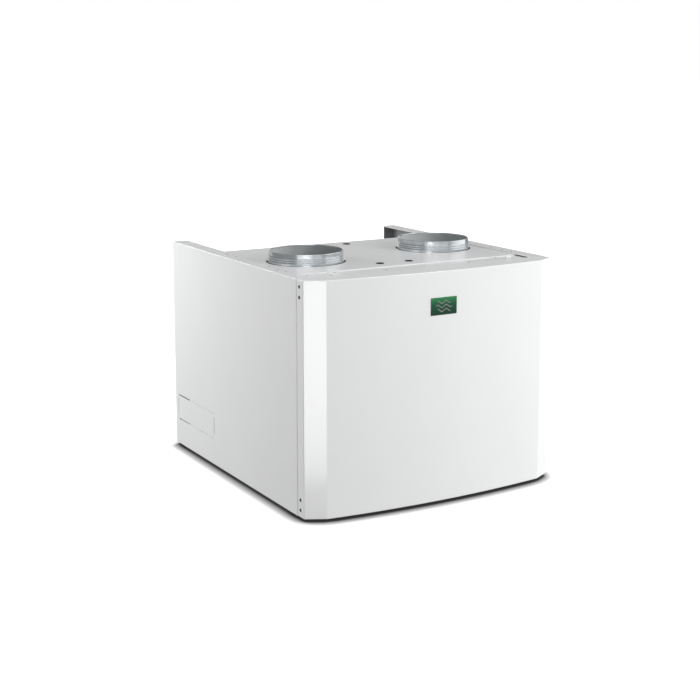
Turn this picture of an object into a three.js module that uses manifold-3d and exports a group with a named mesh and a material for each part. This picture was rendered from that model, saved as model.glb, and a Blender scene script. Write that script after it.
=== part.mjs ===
// Exhaust-air heat recovery unit: a sheet-steel cabinet that takes warm room air in through one duct
// spigot, draws it through a filter and a liquid coil with a centrifugal fan, and blows it out of the
// other spigot. Millimetres, +Z up, +Y to the back; the origin is at the middle of the footprint,
// on the surface that the rubber feet stand on.

import * as THREE from "three";
import { mergeVertices } from "three/addons/utils/BufferGeometryUtils.js";
import Module from "manifold-3d";

const wasm = await Module();
wasm.setup();

// ---- Driving dimensions ----------------------------------------------------------------------
const WIDTH = 596;
const DEPTH = 667;
const HEIGHT = 500;
const SPIGOT_RISE = 22; // rim above the top of the side panels
const FOOT_H = 6;
const SHEET = 1.5;
const GAP = 0.3; // between pieces that touch

const HALF_W = WIDTH / 2;
const BACK = DEPTH / 2;
const TOP = HEIGHT - SPIGOT_RISE; // top of side panels and front cover
const BOTTOM = FOOT_H; // their lower edge

// Front cover
const BADGE = { width: 61.5, height: 35.5, thick: 1.3, z: 408 };
const COVER_FRONT = -DEPTH / 2 + BADGE.thick;
const BOW = 16.5; // how far the middle of the face stands in front of its side edges
const CHAMFER_DEPTH = 21.4;
const FACE_HALF = 256.5;
const COVER_HALF = 296.5;
const FACE_Y = COVER_FRONT + BOW;
const CORNER_Y = FACE_Y + CHAMFER_DEPTH;
const RETURN_LENGTH = 24.3;
const COVER_BACK = CORNER_Y + RETURN_LENGTH;
const COVER_LIP = 26;
const SEAM = 0.8;
const SCREW_Y = CORNER_Y + 13.5;
const SCREW_PAIRS = { upper: [464, 443.5], lower: [41.7, 21.2] };
const BOW_RADIUS = (FACE_HALF ** 2 + BOW ** 2) / (2 * BOW);

// Side panels
const PANEL_FRONT = COVER_BACK + SEAM;
const TOP_FLANGE = 35.5;
const BACK_FLANGE = 30;
const LOW_FLANGE = 25;
const FRONT_FLANGE = 25.5;

// Air-tight body between the panels
const INNER_HALF = HALF_W - SHEET - GAP;
const PLATE_FRONT = PANEL_FRONT + 54;
const BODY_BACK = 141.7;
const PLATE_TOP = TOP - SHEET - GAP;
const PLATE_UNDER = PLATE_TOP - SHEET;
const RAIL_TOP = PLATE_TOP - 1.8;
const RAIL_HALF = HALF_W - TOP_FLANGE - 0.5;
const INNER_FRONT = PANEL_FRONT + SHEET + GAP; // front face of the inner front plate
const INNER_FRONT_BACK = INNER_FRONT + SHEET;
const FLOOR_UNDER = BOTTOM + SHEET + GAP;
const FLOOR_TOP = FLOOR_UNDER + SHEET;

// Duct spigots and grommets
const INLET = { x: -168, y: -69.3 };
const OUTLET = { x: 168, y: -38.3 };
const SPIGOT_R = 80;
const SPIGOT_HOLE_R = 83;
const SPIGOT_FLANGE_R = 93;
const SPIGOT_FLANGE_Z = PLATE_UNDER - GAP - 4 - GAP - SHEET;
const GROMMETS = { rear: [29.6, 105.6], left: [-53, -175.9], middle: [16.2, -177.3] };
const GROMMET_HOLE_R = 7.4;

// Filter cassette
const FILTER = { x0: -84, x1: -36, y0: -258, y1: 122, z0: 27, z1: 431, wall: 3 };
const FILTER_CAP = { x0: -98, x1: -22, z0: 22, z1: 444, thick: 2.4 };
const RAIL_CHANNEL = { lip: 14, play: 1.4 };

// Coil
const COIL = { x0: -28, x1: 36, y0: -231, y1: 91, z0: 42, z1: 422, wall: 2 };
const TUBE = { rows: [-12, 21], count: 8, pitch: 42, z0: 84, r: 4.8, bendR: 5.3, sides: 8 };
const HEADER = { y: 122, r: 8, stubX: 4.5, stubR: 7.5, end: 192 };
const VENT_Y = 166;

// Fan
const FAN = { y: -120, z: 250, x0: 113, x1: 223, tight: 92, wide: 140, throat: 116, top: 440 };
const WHEEL = { r: 80, inner: 66, x0: 128, x1: 206, blades: 14 };
const ROTOR = { r: 44, x0: 164, x1: 211, sides: 20 };

// Electrics
const BOX = { x0: 120, x1: 250, y0: -300, z0: 300, z1: 430, wall: 2.2 };
const CABLE_R = 3.5;

// ---- Colours ---------------------------------------------------------------------------------
const PAINT = { color: 0xf2f2f1, roughness: 0.35, metalness: 0 };
const ZINC = { color: 0xb9bdbf, roughness: 0.32, metalness: 1 };
const COPPER = { color: 0xb87349, roughness: 0.3, metalness: 1 };
const BRASS = { color: 0xc2a35a, roughness: 0.35, metalness: 1 };
const ALUMINIUM = { color: 0xd0d3d6, roughness: 0.45, metalness: 1 };
const RUBBER = { color: 0x1b1b1c, roughness: 0.8, metalness: 0 };
const FOAM = { color: 0x35373a, roughness: 0.95, metalness: 0 };
const DARK_PLASTIC = { color: 0x222427, roughness: 0.5, metalness: 0 };
const GREY_PLASTIC = { color: 0xa9adb0, roughness: 0.5, metalness: 0 };
const FILTER_WHITE = { color: 0xe9ebe6, roughness: 0.95, metalness: 0 };
const BOARD_GREEN = { color: 0x1c5a34, roughness: 0.5, metalness: 0 };
const BADGE_GREEN = { color: 0x0f4a2c, roughness: 0.3, metalness: 0 };

// ---- Solids ----------------------------------------------------------------------------------
function solid(geometry) {
  const bare = geometry.index ? geometry.toNonIndexed() : geometry.clone();
  bare.deleteAttribute("normal");
  bare.deleteAttribute("uv");
  const merged = mergeVertices(bare, 1e-3);
  const vertProperties = merged.attributes.position.array;
  const triVerts = new Uint32Array(merged.index.array);
  return new wasm.Manifold(new wasm.Mesh({ numProp: 3, vertProperties, triVerts }));
}

function toGeometry(manifold) {
  const mesh = manifold.getMesh();
  const geometry = new THREE.BufferGeometry();
  geometry.setAttribute("position", new THREE.BufferAttribute(mesh.vertProperties, 3));
  geometry.setIndex(new THREE.BufferAttribute(mesh.triVerts, 1));
  return geometry;
}

const join = (first, ...rest) => rest.reduce((sum, piece) => sum.add(piece), first);
const cut = (first, ...tools) => tools.reduce((left, tool) => left.subtract(tool), first);

// A box between two corners.
function block([x0, x1], [y0, y1], [z0, z1]) {
  const box = new THREE.BoxGeometry(x1 - x0, y1 - y0, z1 - z0);
  return solid(box.translate((x0 + x1) / 2, (y0 + y1) / 2, (z0 + z1) / 2));
}

// Turns geometry made about +Y so that it lies about the named axis.
function aim(geometry, axis) {
  if (axis === "x") geometry.rotateZ(-Math.PI / 2);
  if (axis === "z") geometry.rotateX(Math.PI / 2);
  return geometry;
}

// A round bar along an axis, from one coordinate to another; [a, b] is its place across that axis.
function rod(axis, radius, [a, b], [from, to], sides = 24) {
  const bar = aim(new THREE.CylinderGeometry(radius, radius, to - from, sides), axis);
  const mid = (from + to) / 2;
  const place = { x: [mid, a, b], y: [a, mid, b], z: [a, b, mid] }[axis];
  return solid(bar.translate(...place));
}

// A solid of revolution from a profile of [radius, distance along the axis] pairs that starts and
// ends on the axis, or closes on itself.
function turned(axis, profile, [x, y, z], sides = 32) {
  const points = profile.map(([r, along]) => new THREE.Vector2(r, along));
  const closes = profile[0][0] > 0;
  if (closes) points.push(points[0].clone());
  const lathe = aim(new THREE.LatheGeometry(points, sides), axis);
  return solid(lathe.translate(x, y, z));
}

// A flat outline of [u, v] pairs pulled along an axis: u, v are x, y for "z"; y, z for "x"; x, z for "y".
function prism(axis, outline, [from, to]) {
  const shape = new THREE.Shape(outline.map(([u, v]) => new THREE.Vector2(u, v)));
  const pulled = new THREE.ExtrudeGeometry(shape, { depth: to - from, bevelEnabled: false });
  if (axis === "z") pulled.translate(0, 0, from);
  if (axis === "x") pulled.rotateX(Math.PI / 2).rotateZ(Math.PI / 2).translate(from, 0, 0);
  if (axis === "y") pulled.rotateX(Math.PI / 2).translate(0, to, 0);
  return solid(pulled);
}

// A round bar along a curve.
function bent(curve, radius, sides, steps) {
  const section = new THREE.Shape();
  for (let i = 0; i < sides; i++) {
    const angle = (2 * Math.PI * i) / sides;
    const point = [radius * Math.cos(angle), radius * Math.sin(angle)];
    if (i) section.lineTo(...point);
    else section.moveTo(...point);
  }
  return solid(new THREE.ExtrudeGeometry(section, { steps, extrudePath: curve, bevelEnabled: false }));
}

// ---- The assembly ----------------------------------------------------------------------------
const group = new THREE.Group();

function add(name, manifold, finish) {
  const mesh = new THREE.Mesh(toGeometry(manifold), new THREE.MeshStandardMaterial(finish));
  mesh.name = name;
  group.add(mesh);
}

const mirror = (manifold) => manifold.mirror([1, 0, 0]);
const SIDES = { left: -1, right: 1 };
const onSide = (side, manifold) => (side < 0 ? mirror(manifold) : manifold);

// ---- Casing ----------------------------------------------------------------------------------
function sidePanel() {
  const wall = block([HALF_W - SHEET, HALF_W], [PANEL_FRONT, BACK], [BOTTOM, TOP]);
  const top = block([HALF_W - TOP_FLANGE, HALF_W], [PANEL_FRONT, BACK], [TOP - SHEET, TOP]);
  const low = block([HALF_W - LOW_FLANGE, HALF_W], [PANEL_FRONT, BACK], [BOTTOM, BOTTOM + SHEET]);
  const rear = block([HALF_W - BACK_FLANGE, HALF_W], [BACK - SHEET, BACK], [BOTTOM, TOP]);
  const front = block(
    [HALF_W - FRONT_FLANGE, HALF_W],
    [PANEL_FRONT, PANEL_FRONT + SHEET],
    [BOTTOM, TOP],
  );
  return cut(join(wall, top, low, rear, front), ...studHoles());
}

const STUD_X = HALF_W - 14;
const studHeights = Object.values(SCREW_PAIRS).map(([a, b]) => (a + b) / 2);

function studHoles() {
  return studHeights.map((z) =>
    rod("y", 4.6, [STUD_X, z], [PANEL_FRONT - 1, INNER_FRONT_BACK + 1], 8),
  );
}

function basePlate() {
  const front = INNER_FRONT_BACK + GAP;
  const back = BODY_BACK - SHEET - GAP;
  const floor = block([-INNER_HALF, INNER_HALF], [front, back], [FLOOR_UNDER, FLOOR_TOP]);
  const lipFront = block([-INNER_HALF, INNER_HALF], [front, front + SHEET], [FLOOR_UNDER, 20]);
  const lipBack = block([-INNER_HALF, INNER_HALF], [back - SHEET, back], [FLOOR_UNDER, 20]);
  return join(floor, lipFront, lipBack);
}

function topPlate() {
  const plate = block([-INNER_HALF, INNER_HALF], [PLATE_FRONT, BODY_BACK], [PLATE_UNDER, PLATE_TOP]);
  const lip = block([-RAIL_HALF, RAIL_HALF], [PLATE_FRONT, PLATE_FRONT + SHEET], [461, PLATE_TOP]);
  const depth = [PLATE_UNDER - 1, PLATE_TOP + 1];
  const spigotHoles = [INLET, OUTLET].map(({ x, y }) => rod("z", SPIGOT_HOLE_R, [x, y], depth, 32));
  const grommetHoles = Object.values(GROMMETS).map((at) => rod("z", GROMMET_HOLE_R, at, depth, 16));
  return cut(join(plate, lip), ...spigotHoles, ...grommetHoles);
}

// Where the two cover clips stand through the rail.
const CLIPS = { left: -209, right: 222 };
const CLIP_Y = PANEL_FRONT + 22;

function frontTopRail() {
  const y = [PANEL_FRONT, PLATE_FRONT - GAP];
  const across = [-RAIL_HALF, RAIL_HALF];
  const deck = block(across, y, [RAIL_TOP - SHEET, RAIL_TOP]);
  const frontLip = block(across, [y[0], y[0] + SHEET], [452, RAIL_TOP]);
  const backLip = block(across, [y[1] - SHEET, y[1]], [461, RAIL_TOP]);
  const through = [RAIL_TOP - SHEET - 1, RAIL_TOP + 1];
  const clipSlots = Object.values(CLIPS).map((x) =>
    block([x - 26, x + 9], [CLIP_Y - 3, CLIP_Y + 3], through),
  );
  const midSlot = block([36, 62], [PANEL_FRONT + 33, PANEL_FRONT + 37], through);
  return cut(join(deck, frontLip, backLip), ...clipSlots, midSlot);
}

// A bent spring strip that stands up through the rail and snaps on to the cover's top edge.
function coverClip(x) {
  const t = 1;
  const top = TOP - 0.6;
  const foot = RAIL_TOP - SHEET - GAP;
  const outline = [
    [CLIP_Y + 12, foot - t],
    [CLIP_Y + 12, foot],
    [CLIP_Y + t, foot],
    [CLIP_Y + t, top - 2],
    [CLIP_Y - 1, top],
    [CLIP_Y - 1 - t, top],
    [CLIP_Y, top - 2.4],
    [CLIP_Y, foot - t],
  ];
  return prism("x", outline, [x - 6, x + 6]);
}

const FILTER_HOLE = { x0: FILTER.x0 - 4, x1: FILTER.x1 + 4, z0: FILTER.z0 - 1, z1: FILTER.z1 + 6 };
const CABLE_HOLE = [212, 236];

function innerFrontPlate() {
  const plate = block([-290, 290], [INNER_FRONT, INNER_FRONT_BACK], [FLOOR_UNDER, 471]);
  const past = [INNER_FRONT - 1, INNER_FRONT_BACK + 1];
  const { x0, x1, z0, z1 } = FILTER_HOLE;
  const filterHole = block([x0, x1], past, [z0, z1]);
  const cableHole = rod("y", 11, CABLE_HOLE, past, 16);
  const holes = studHoles();
  return cut(plate, filterHole, cableHole, ...holes, ...holes.map(mirror));
}

function backPanel() {
  const y = [BODY_BACK - SHEET, BODY_BACK];
  const plate = block([-INNER_HALF, INNER_HALF], y, [FLOOR_UNDER, PLATE_UNDER - GAP]);
  const past = [y[0] - 1, y[1] + 1];
  const stubs = headerHeights.map((z) => rod("y", HEADER.stubR + 1, [HEADER.stubX, z], past, 20));
  const drain = rod("y", DRAIN.r + 0.6, [DRAIN.x, DRAIN.z], past, 12);
  const gland = rod("y", GLAND.thread + GAP, [GLAND.x, GLAND.z], past, 16);
  return cut(plate, ...stubs, drain, gland);
}

// The wall between the coil and the fan chamber, with a window the size of the coil's face.
function coilPartition() {
  const x = [COIL.x1 + 2, COIL.x1 + 3.5];
  const y = [INNER_FRONT_BACK + 2.5, BODY_BACK - 4.5];
  const plate = block(x, y, [24, 458]);
  const window = block(
    [x[0] - 1, x[1] + 1],
    [COIL.y0 + 8, COIL.y1 - 8],
    [COIL.z0 + 8, COIL.z1 - 8],
  );
  return cut(plate, window);
}

function sideInsulation() {
  const x1 = INNER_HALF - GAP;
  return block([x1 - 10, x1], [INNER_FRONT_BACK + 4, BODY_BACK - 4.5], [22, 458]);
}

function topInsulation() {
  const z = [465.5, PLATE_UNDER - GAP];
  const mat = block([-285, 285], [PLATE_FRONT + 3, BODY_BACK - 4], z);
  const past = [z[0] - 1, z[1] + 1];
  const spigots = [INLET, OUTLET].map(({ x, y }) => rod("z", SPIGOT_FLANGE_R + 6, [x, y], past));
  const grommets = Object.values(GROMMETS).map((at) => rod("z", 12, at, past, 12));
  const { x, y } = OUTLET;
  const collar = block([x - COLLAR - 2, x + COLLAR + 2], [y - COLLAR - 2, y + COLLAR + 2], past);
  return cut(mat, ...spigots, ...grommets, collar);
}

function foot(x, y) {
  const profile = [
    [0, 0],
    [11, 0],
    [12.5, FOOT_H - GAP],
    [0, FOOT_H - GAP],
  ];
  return turned("z", profile, [x, y, 0], 20);
}

// ---- Spigots ---------------------------------------------------------------------------------
// A pressed collar: an inner flange, two stiffening ribs above a flared base, a neck and a rolled rim.
function spigot({ x, y }) {
  const r = SPIGOT_R;
  const z0 = SPIGOT_FLANGE_Z;
  const profile = [
    [r - 3.4, z0],
    [SPIGOT_FLANGE_R, z0],
    [SPIGOT_FLANGE_R, z0 + SHEET],
    [r + 1.4, z0 + SHEET],
    [r + 1.4, TOP + 1],
    [r - 0.6, TOP + 3],
    [r + 0.4, TOP + 5],
    [r - 1.8, TOP + 10],
    [r - 1.2, HEIGHT - 4],
    [r - 1.4, HEIGHT],
    [r - 3.4, HEIGHT],
  ];
  return turned("z", profile, [x, y, 0], 32);
}

function spigotSeal({ x, y }) {
  const z0 = SPIGOT_FLANGE_Z + SHEET + GAP;
  const z1 = PLATE_UNDER - GAP;
  const profile = [
    [SPIGOT_HOLE_R + 0.5, z0],
    [SPIGOT_FLANGE_R, z0],
    [SPIGOT_FLANGE_R, z1],
    [SPIGOT_HOLE_R + 0.5, z1],
  ];
  return turned("z", profile, [x, y, 0], 28);
}

function grommet([x, y]) {
  const neck = GROMMET_HOLE_R - GAP;
  const wide = GROMMET_HOLE_R + 1.1;
  const profile = [
    [0, PLATE_TOP - 1],
    [5, PLATE_TOP - 1],
    [6, PLATE_TOP + 1.1],
    [wide, PLATE_TOP + 1.1],
    [wide, PLATE_TOP + GAP],
    [neck, PLATE_TOP + GAP],
    [neck, PLATE_UNDER - GAP],
    [wide, PLATE_UNDER - GAP],
    [neck - 1, PLATE_UNDER - 4],
    [0, PLATE_UNDER - 4],
  ];
  return turned("z", profile.reverse(), [x, y, 0], 16);
}

// ---- Front cover -----------------------------------------------------------------------------
// Points on the bowed face, moved inwards by inset.
function bowPoints(half, inset, segments) {
  const centre = COVER_FRONT + BOW_RADIUS;
  const radius = BOW_RADIUS - inset;
  return Array.from({ length: segments + 1 }, (_, i) => {
    const x = -half + (2 * half * i) / segments;
    return [x, centre - Math.sqrt(radius ** 2 - x ** 2)];
  });
}

// The cover's plan, all of it moved inwards by inset.
function coverPlan(inset) {
  const side = COVER_HALF - inset;
  const chamfer = Math.atan2(CHAMFER_DEPTH, COVER_HALF - FACE_HALF);
  const corner = CORNER_Y + inset * Math.tan((Math.PI / 2 - chamfer) / 2);
  const face = bowPoints(FACE_HALF - inset * Math.tan(chamfer / 2) * 0.8, inset, 18);
  return [[-side, COVER_BACK], [-side, corner], ...face, [side, corner], [side, COVER_BACK]];
}

function frontCover() {
  const skin = prism("z", coverPlan(0), [BOTTOM, TOP]);
  const hollow = prism("z", coverPlan(SHEET), [BOTTOM + SHEET, TOP - SHEET]);
  const behind = block(
    [-COVER_HALF + SHEET, COVER_HALF - SHEET],
    [COVER_BACK - 0.5, COVER_BACK + 1],
    [BOTTOM + SHEET, TOP - SHEET],
  );
  const under = prism(
    "z",
    [
      [-COVER_HALF + COVER_LIP, COVER_BACK + 1],
      [-FACE_HALF + COVER_LIP / 2, FACE_Y + COVER_LIP],
      [FACE_HALF - COVER_LIP / 2, FACE_Y + COVER_LIP],
      [COVER_HALF - COVER_LIP, COVER_BACK + 1],
    ],
    [BOTTOM - 1, BOTTOM + SHEET + 1],
  );
  const screwHoles = Object.values(SCREW_PAIRS)
    .flat()
    .map((z) => rod("x", 2.5, [SCREW_Y, z], [COVER_HALF - 4, COVER_HALF + 1], 6));
  return cut(skin, hollow, behind, under, ...screwHoles, ...screwHoles.map(mirror));
}

function coverInsulation() {
  const half = 246;
  const front = bowPoints(half, SHEET + 0.5, 12);
  const back = bowPoints(half, SHEET + 10.5, 12).reverse();
  return prism("z", [...front, ...back], [BOTTOM + 12, TOP - 12]);
}

function badge() {
  const { width, height, thick, z } = BADGE;
  const r = 2.5;
  const corners = [
    [1, 1],
    [-1, 1],
    [-1, -1],
    [1, -1],
  ];
  const outline = corners.flatMap(([sx, sz], i) =>
    [0, 1, 2].map((step) => {
      const angle = ((i + step / 2) * Math.PI) / 2;
      return [
        sx * (width / 2 - r) + r * Math.cos(angle),
        z + sz * (height / 2 - r) + r * Math.sin(angle),
      ];
    }),
  );
  return prism("y", outline, [COVER_FRONT - thick, COVER_FRONT - 0.1]);
}

// An angle inside the cover's corner with its two screws and the stud that plugs into the side panel.
function coverBracket(heights) {
  const plate = [COVER_HALF - SHEET - GAP - 1.6, COVER_HALF - SHEET - GAP];
  const high = Math.max(...heights) + 7;
  const low = Math.min(...heights) - 7;
  const leg = block(plate, [SCREW_Y - 6, COVER_BACK - 1], [low, high]);
  const foot = block([STUD_X - 8, plate[1]], [COVER_BACK - 2.6, COVER_BACK - 1], [low, high]);
  const mid = (low + high) / 2;
  const stud = rod("y", 3.4, [STUD_X, mid], [COVER_BACK - 2, INNER_FRONT_BACK + 1.5], 8);
  const screws = heights.map((z) => {
    const shank = rod("x", 2, [SCREW_Y, z], [plate[0] - 3, HALF_W - 1], 6);
    const head = rod("x", 3.9, [SCREW_Y, z], [COVER_HALF + GAP, HALF_W - 0.1], 10);
    return join(shank, head);
  });
  return join(leg, foot, stud, ...screws);
}

// ---- Filter ----------------------------------------------------------------------------------
function filterChannel(open) {
  const x = [FILTER.x0 - RAIL_CHANNEL.play - SHEET, FILTER.x1 + RAIL_CHANNEL.play + SHEET];
  const y = [INNER_FRONT_BACK + 2.6, BODY_BACK - 5];
  const up = open === "up";
  const z0 = up ? FILTER.z0 - GAP - SHEET : FILTER.z1 + 2 + SHEET - RAIL_CHANNEL.lip;
  const z = [z0, z0 + RAIL_CHANNEL.lip];
  const hollowZ = up ? [z[0] + SHEET, z[1] + 1] : [z[0] - 1, z[1] - SHEET];
  return cut(block(x, y, z), block([x[0] + SHEET, x[1] - SHEET], [y[0] - 1, y[1] + 1], hollowZ));
}

function filterFrame() {
  const { x0, x1, y0, y1, z0, z1, wall } = FILTER;
  const outer = block([x0, x1], [y0, y1], [z0, z1]);
  const window = block([x0 - 1, x1 + 1], [y0 + 12, y1 - 12], [z0 + 12, z1 - 12]);
  const groove = block(
    [x0 + wall, x1 - wall],
    [y0 + wall, y1 - wall],
    [z0 + wall, z1 - wall],
  );
  return cut(outer, window, groove);
}

// One pleated sheet: a zigzag in plan, pulled up the height of the frame.
function filterMedia() {
  const { x0, x1, y0, y1, z0, z1, wall } = FILTER;
  const pleats = 20;
  const shift = 4; // across the cassette from one face of the sheet to the other
  const clear = wall + 0.8;
  const pitch = (y1 - y0 - 2 * clear) / pleats;
  const ridge = Array.from({ length: pleats + 1 }, (_, i) => [
    i % 2 ? x1 - clear - shift : x0 + clear,
    y0 + clear + i * pitch,
  ]);
  const behind = ridge.map(([x, y]) => [x + shift, y]).reverse();
  return prism("z", [...ridge, ...behind], [z0 + clear, z1 - clear]);
}

const CAP_BACK = INNER_FRONT - GAP;
const CAP_FRONT = CAP_BACK - FILTER_CAP.thick;

// The cassette's front plate, which closes the slot, with the neck that it is fixed to the frame by.
function filterCap() {
  const { x0, x1, z0, z1 } = FILTER_CAP;
  const plate = block([x0, x1], [CAP_FRONT, CAP_BACK], [z0, z1]);
  const neck = block(
    [FILTER.x0 + 2, FILTER.x1 - 2],
    [CAP_BACK - 0.5, FILTER.y0 - GAP],
    [FILTER.z0 + 2, FILTER.z1 - 2],
  );
  return join(plate, neck);
}

function filterHandle() {
  const x = (FILTER_CAP.x0 + FILTER_CAP.x1) / 2;
  const z = (FILTER_CAP.z0 + FILTER_CAP.z1) / 2;
  const reach = 24;
  const y1 = CAP_FRONT - GAP;
  const outer = block([x - 11, x + 11], [y1 - reach, y1], [z - 62, z + 62]);
  const grip = block([x - 12, x + 12], [y1 - reach + 7, y1 - 2.5], [z - 48, z + 48]);
  return cut(outer, grip);
}

// ---- Coil ------------------------------------------------------------------------------------
const tubeHeights = Array.from({ length: TUBE.count }, (_, i) => TUBE.z0 + i * TUBE.pitch);
const headerHeights = [tubeHeights[0], tubeHeights[TUBE.count - 1]];

function tubeBores(radius, sides) {
  return TUBE.rows.flatMap((x) =>
    tubeHeights.map((z) => rod("y", radius, [x, z], [COIL.y0 - 1, COIL.y1 + 1], sides)),
  );
}

function coilFrame() {
  const { x0, x1, y0, y1, z0, z1, wall } = COIL;
  const outer = block([x0, x1], [y0, y1], [z0, z1]);
  const inner = block([x0 - 1, x1 + 1], [y0 + wall, y1 - wall], [z0 + wall, z1 - wall]);
  return cut(outer, inner, ...tubeBores(TUBE.r + 1.2, 6));
}

function coilFins() {
  const { x0, x1, y0, y1, z0, z1, wall } = COIL;
  const inset = wall + GAP;
  const pack = block(
    [x0 + 1, x1 - 1],
    [y0 + inset, y1 - inset],
    [z0 + inset, z1 - inset],
  );
  return cut(pack, ...tubeBores(TUBE.r + 1.2, 6));
}

// A half-circle return bend between two neighbouring passes; out is -1 at the front and 1 at the back.
class ReturnBend extends THREE.Curve {
  constructor(x, y, zLow, out) {
    super();
    this.centre = new THREE.Vector3(x, y, zLow + TUBE.pitch / 2);
    this.out = out;
  }

  getPoint(t, target = new THREE.Vector3()) {
    const angle = Math.PI * t;
    const r = TUBE.pitch / 2;
    const step = new THREE.Vector3(0, this.out * r * Math.sin(angle), -r * Math.cos(angle));
    return target.copy(this.centre).add(step);
  }
}

function coilTubes(x) {
  const front = COIL.y0 - 4;
  const back = COIL.y1 + 4;
  const last = TUBE.count - 1;
  const passes = tubeHeights.map((z, i) => {
    const end = i === 0 || i === last ? HEADER.y - HEADER.r - GAP : back + 1;
    return rod("y", TUBE.r, [x, z], [front - 1, end], TUBE.sides);
  });
  const bends = tubeHeights.slice(0, last).map((z, i) => {
    const out = i % 2 ? 1 : -1;
    return bent(new ReturnBend(x, out < 0 ? front : back, z, out), TUBE.bendR, TUBE.sides, 4);
  });
  return join(...passes, ...bends);
}

// A header across both tube rows and the stub that leaves through the back panel, open at its end.
function coilHeader(z, withVent) {
  const { y, r, stubX, stubR, end } = HEADER;
  const across = rod("x", r, [y, z], [TUBE.rows[0] - 12, TUBE.rows[1] + 12], 16);
  const stub = rod("y", stubR, [stubX, z], [y, end], 16);
  const nut = rod("y", 14, [stubX, z], [end - 20, end - 4], 6);
  const bore = rod("y", stubR - 1.5, [stubX, z], [y + 2, end + 1], 12);
  const body = join(across, stub, nut);
  if (!withVent) return cut(body, bore);
  const boss = rod("z", 5, [stubX, VENT_Y], [z + 2, z + 14], 12);
  return cut(join(body, boss), bore, rod("z", 3.4, [stubX, VENT_Y], [z + 9, z + 15], 12));
}

// The bleed screw that sits in the boss, with a square key end.
function airVentScrew(z) {
  const shank = rod("z", 3, [HEADER.stubX, VENT_Y], [z + 9.5, z + 16], 12);
  const x = HEADER.stubX;
  const key = block([x - 2.5, x + 2.5], [VENT_Y - 2.5, VENT_Y + 2.5], [z + 15, z + 22]);
  const collar = rod("z", 5, [x, VENT_Y], [z + 14 + GAP, z + 16], 12);
  return join(shank, key, collar);
}

const DRAIN = { x: 20, z: 28, r: 6.5, end: 185 };

function dripTray() {
  const x = [-104, 45];
  const y = [INNER_FRONT_BACK + 3, BODY_BACK - 6];
  const z = [FLOOR_TOP + GAP, 23.7];
  const outer = block(x, y, z);
  const inner = block([x[0] + 1.2, x[1] - 1.2], [y[0] + 1.2, y[1] - 1.2], [z[0] + 1.2, z[1] + 1]);
  const outlet = rod("y", DRAIN.r - 2.2, [DRAIN.x, DRAIN.z], [y[1] - 3, y[1] + 1], 10);
  return cut(outer, inner, outlet);
}

// The drain spout: a socket on the tray's rear wall, then a ribbed hose tail behind the back panel.
function drainStub() {
  const at = [DRAIN.x, DRAIN.z];
  const y0 = BODY_BACK - 6 + GAP;
  const pipe = rod("y", DRAIN.r - 1.8, at, [y0, DRAIN.end], 12);
  const barbs = [10, 22].map((step) =>
    rod("y", DRAIN.r - 0.6, at, [DRAIN.end - step, DRAIN.end - step + 4], 12),
  );
  return cut(join(pipe, ...barbs), rod("y", DRAIN.r - 3.4, at, [y0 - 1, DRAIN.end + 1], 10));
}

// ---- Fan -------------------------------------------------------------------------------------
// The scroll's outline in the y, z plane: a spiral that opens from the cut-off round to the throat.
function scrollOutline(inset, top) {
  const start = -20;
  const end = 270;
  const segments = 22;
  const spiral = Array.from({ length: segments + 1 }, (_, i) => {
    const degrees = start + ((end - start) * i) / segments;
    const r = FAN.tight + ((FAN.wide - FAN.tight) * i) / segments - inset;
    const angle = THREE.MathUtils.degToRad(degrees);
    return [FAN.y - r * Math.sin(angle), FAN.z + r * Math.cos(angle)];
  });
  const outerWall = FAN.y + FAN.wide - inset;
  const innerWall = FAN.y + FAN.wide - FAN.throat + inset;
  return [...spiral, [outerWall, top], [innerWall, top]];
}

function blowerHousing() {
  const shell = prism("x", scrollOutline(0, FAN.top), [FAN.x0, FAN.x1]);
  const hollow = prism("x", scrollOutline(SHEET, FAN.top + 1), [FAN.x0 + SHEET, FAN.x1 - SHEET]);
  const eye = rod("x", 66.5, [FAN.y, FAN.z], [FAN.x0 - 1, FAN.x0 + 3], 24);
  const motorHole = rod("x", 37, [FAN.y, FAN.z], [FAN.x1 - 3, FAN.x1 + 1], 24);
  return cut(shell, hollow, eye, motorHole);
}

function inletRing() {
  const profile = [
    [76, 0],
    [76, 1.5],
    [68, 2.5],
    [60.6, 9],
    [60.6, 20],
    [59, 20],
    [59, 8],
    [66.5, 1],
  ];
  return turned("x", profile, [FAN.x0 - 6.5, FAN.y, FAN.z], 24);
}

function impeller() {
  const { r, inner, x0, x1, blades } = WHEEL;
  const at = [FAN.y, FAN.z];
  const bore = rod("x", ROTOR.r + GAP + 0.4, at, [x1 - 3, x1 + 1], 24);
  const disc = cut(rod("x", r, at, [x1 - 2, x1], 32), bore);
  const ring = cut(rod("x", r, at, [x0, x0 + 3], 32), rod("x", inner, at, [x0 - 1, x0 + 4], 32));
  const wheel = Array.from({ length: blades }, (_, i) => {
    const turn = (2 * Math.PI * i) / blades;
    const arc = [0, 0.5, 1].map((t) => [inner + 1 + (r - inner - 2) * t, turn + 0.16 * t * t]);
    const edge = (lead) => arc.map(([radius, angle]) => {
      const a = angle + lead / radius;
      return [FAN.y + radius * Math.cos(a), FAN.z + radius * Math.sin(a)];
    });
    return prism("x", [...edge(0.6), ...edge(-0.6).reverse()], [x0 + 1, x1 - 1]);
  });
  return join(disc, ring, ...wheel);
}

// The bell of an external-rotor motor, with the spindle that turns in the stator.
function motorRotor() {
  const { r, x0, x1 } = ROTOR;
  const profile = [
    [0, x0],
    [r - 6, x0],
    [r, x0 + 6],
    [r, x1],
    [r - 5, x1],
    [r - 5, x0 + 7],
    [4.9, x0 + 7],
    [4.9, x0 + 34],
    [0, x0 + 34],
  ];
  return turned("x", profile, [0, FAN.y, FAN.z], ROTOR.sides);
}

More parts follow.
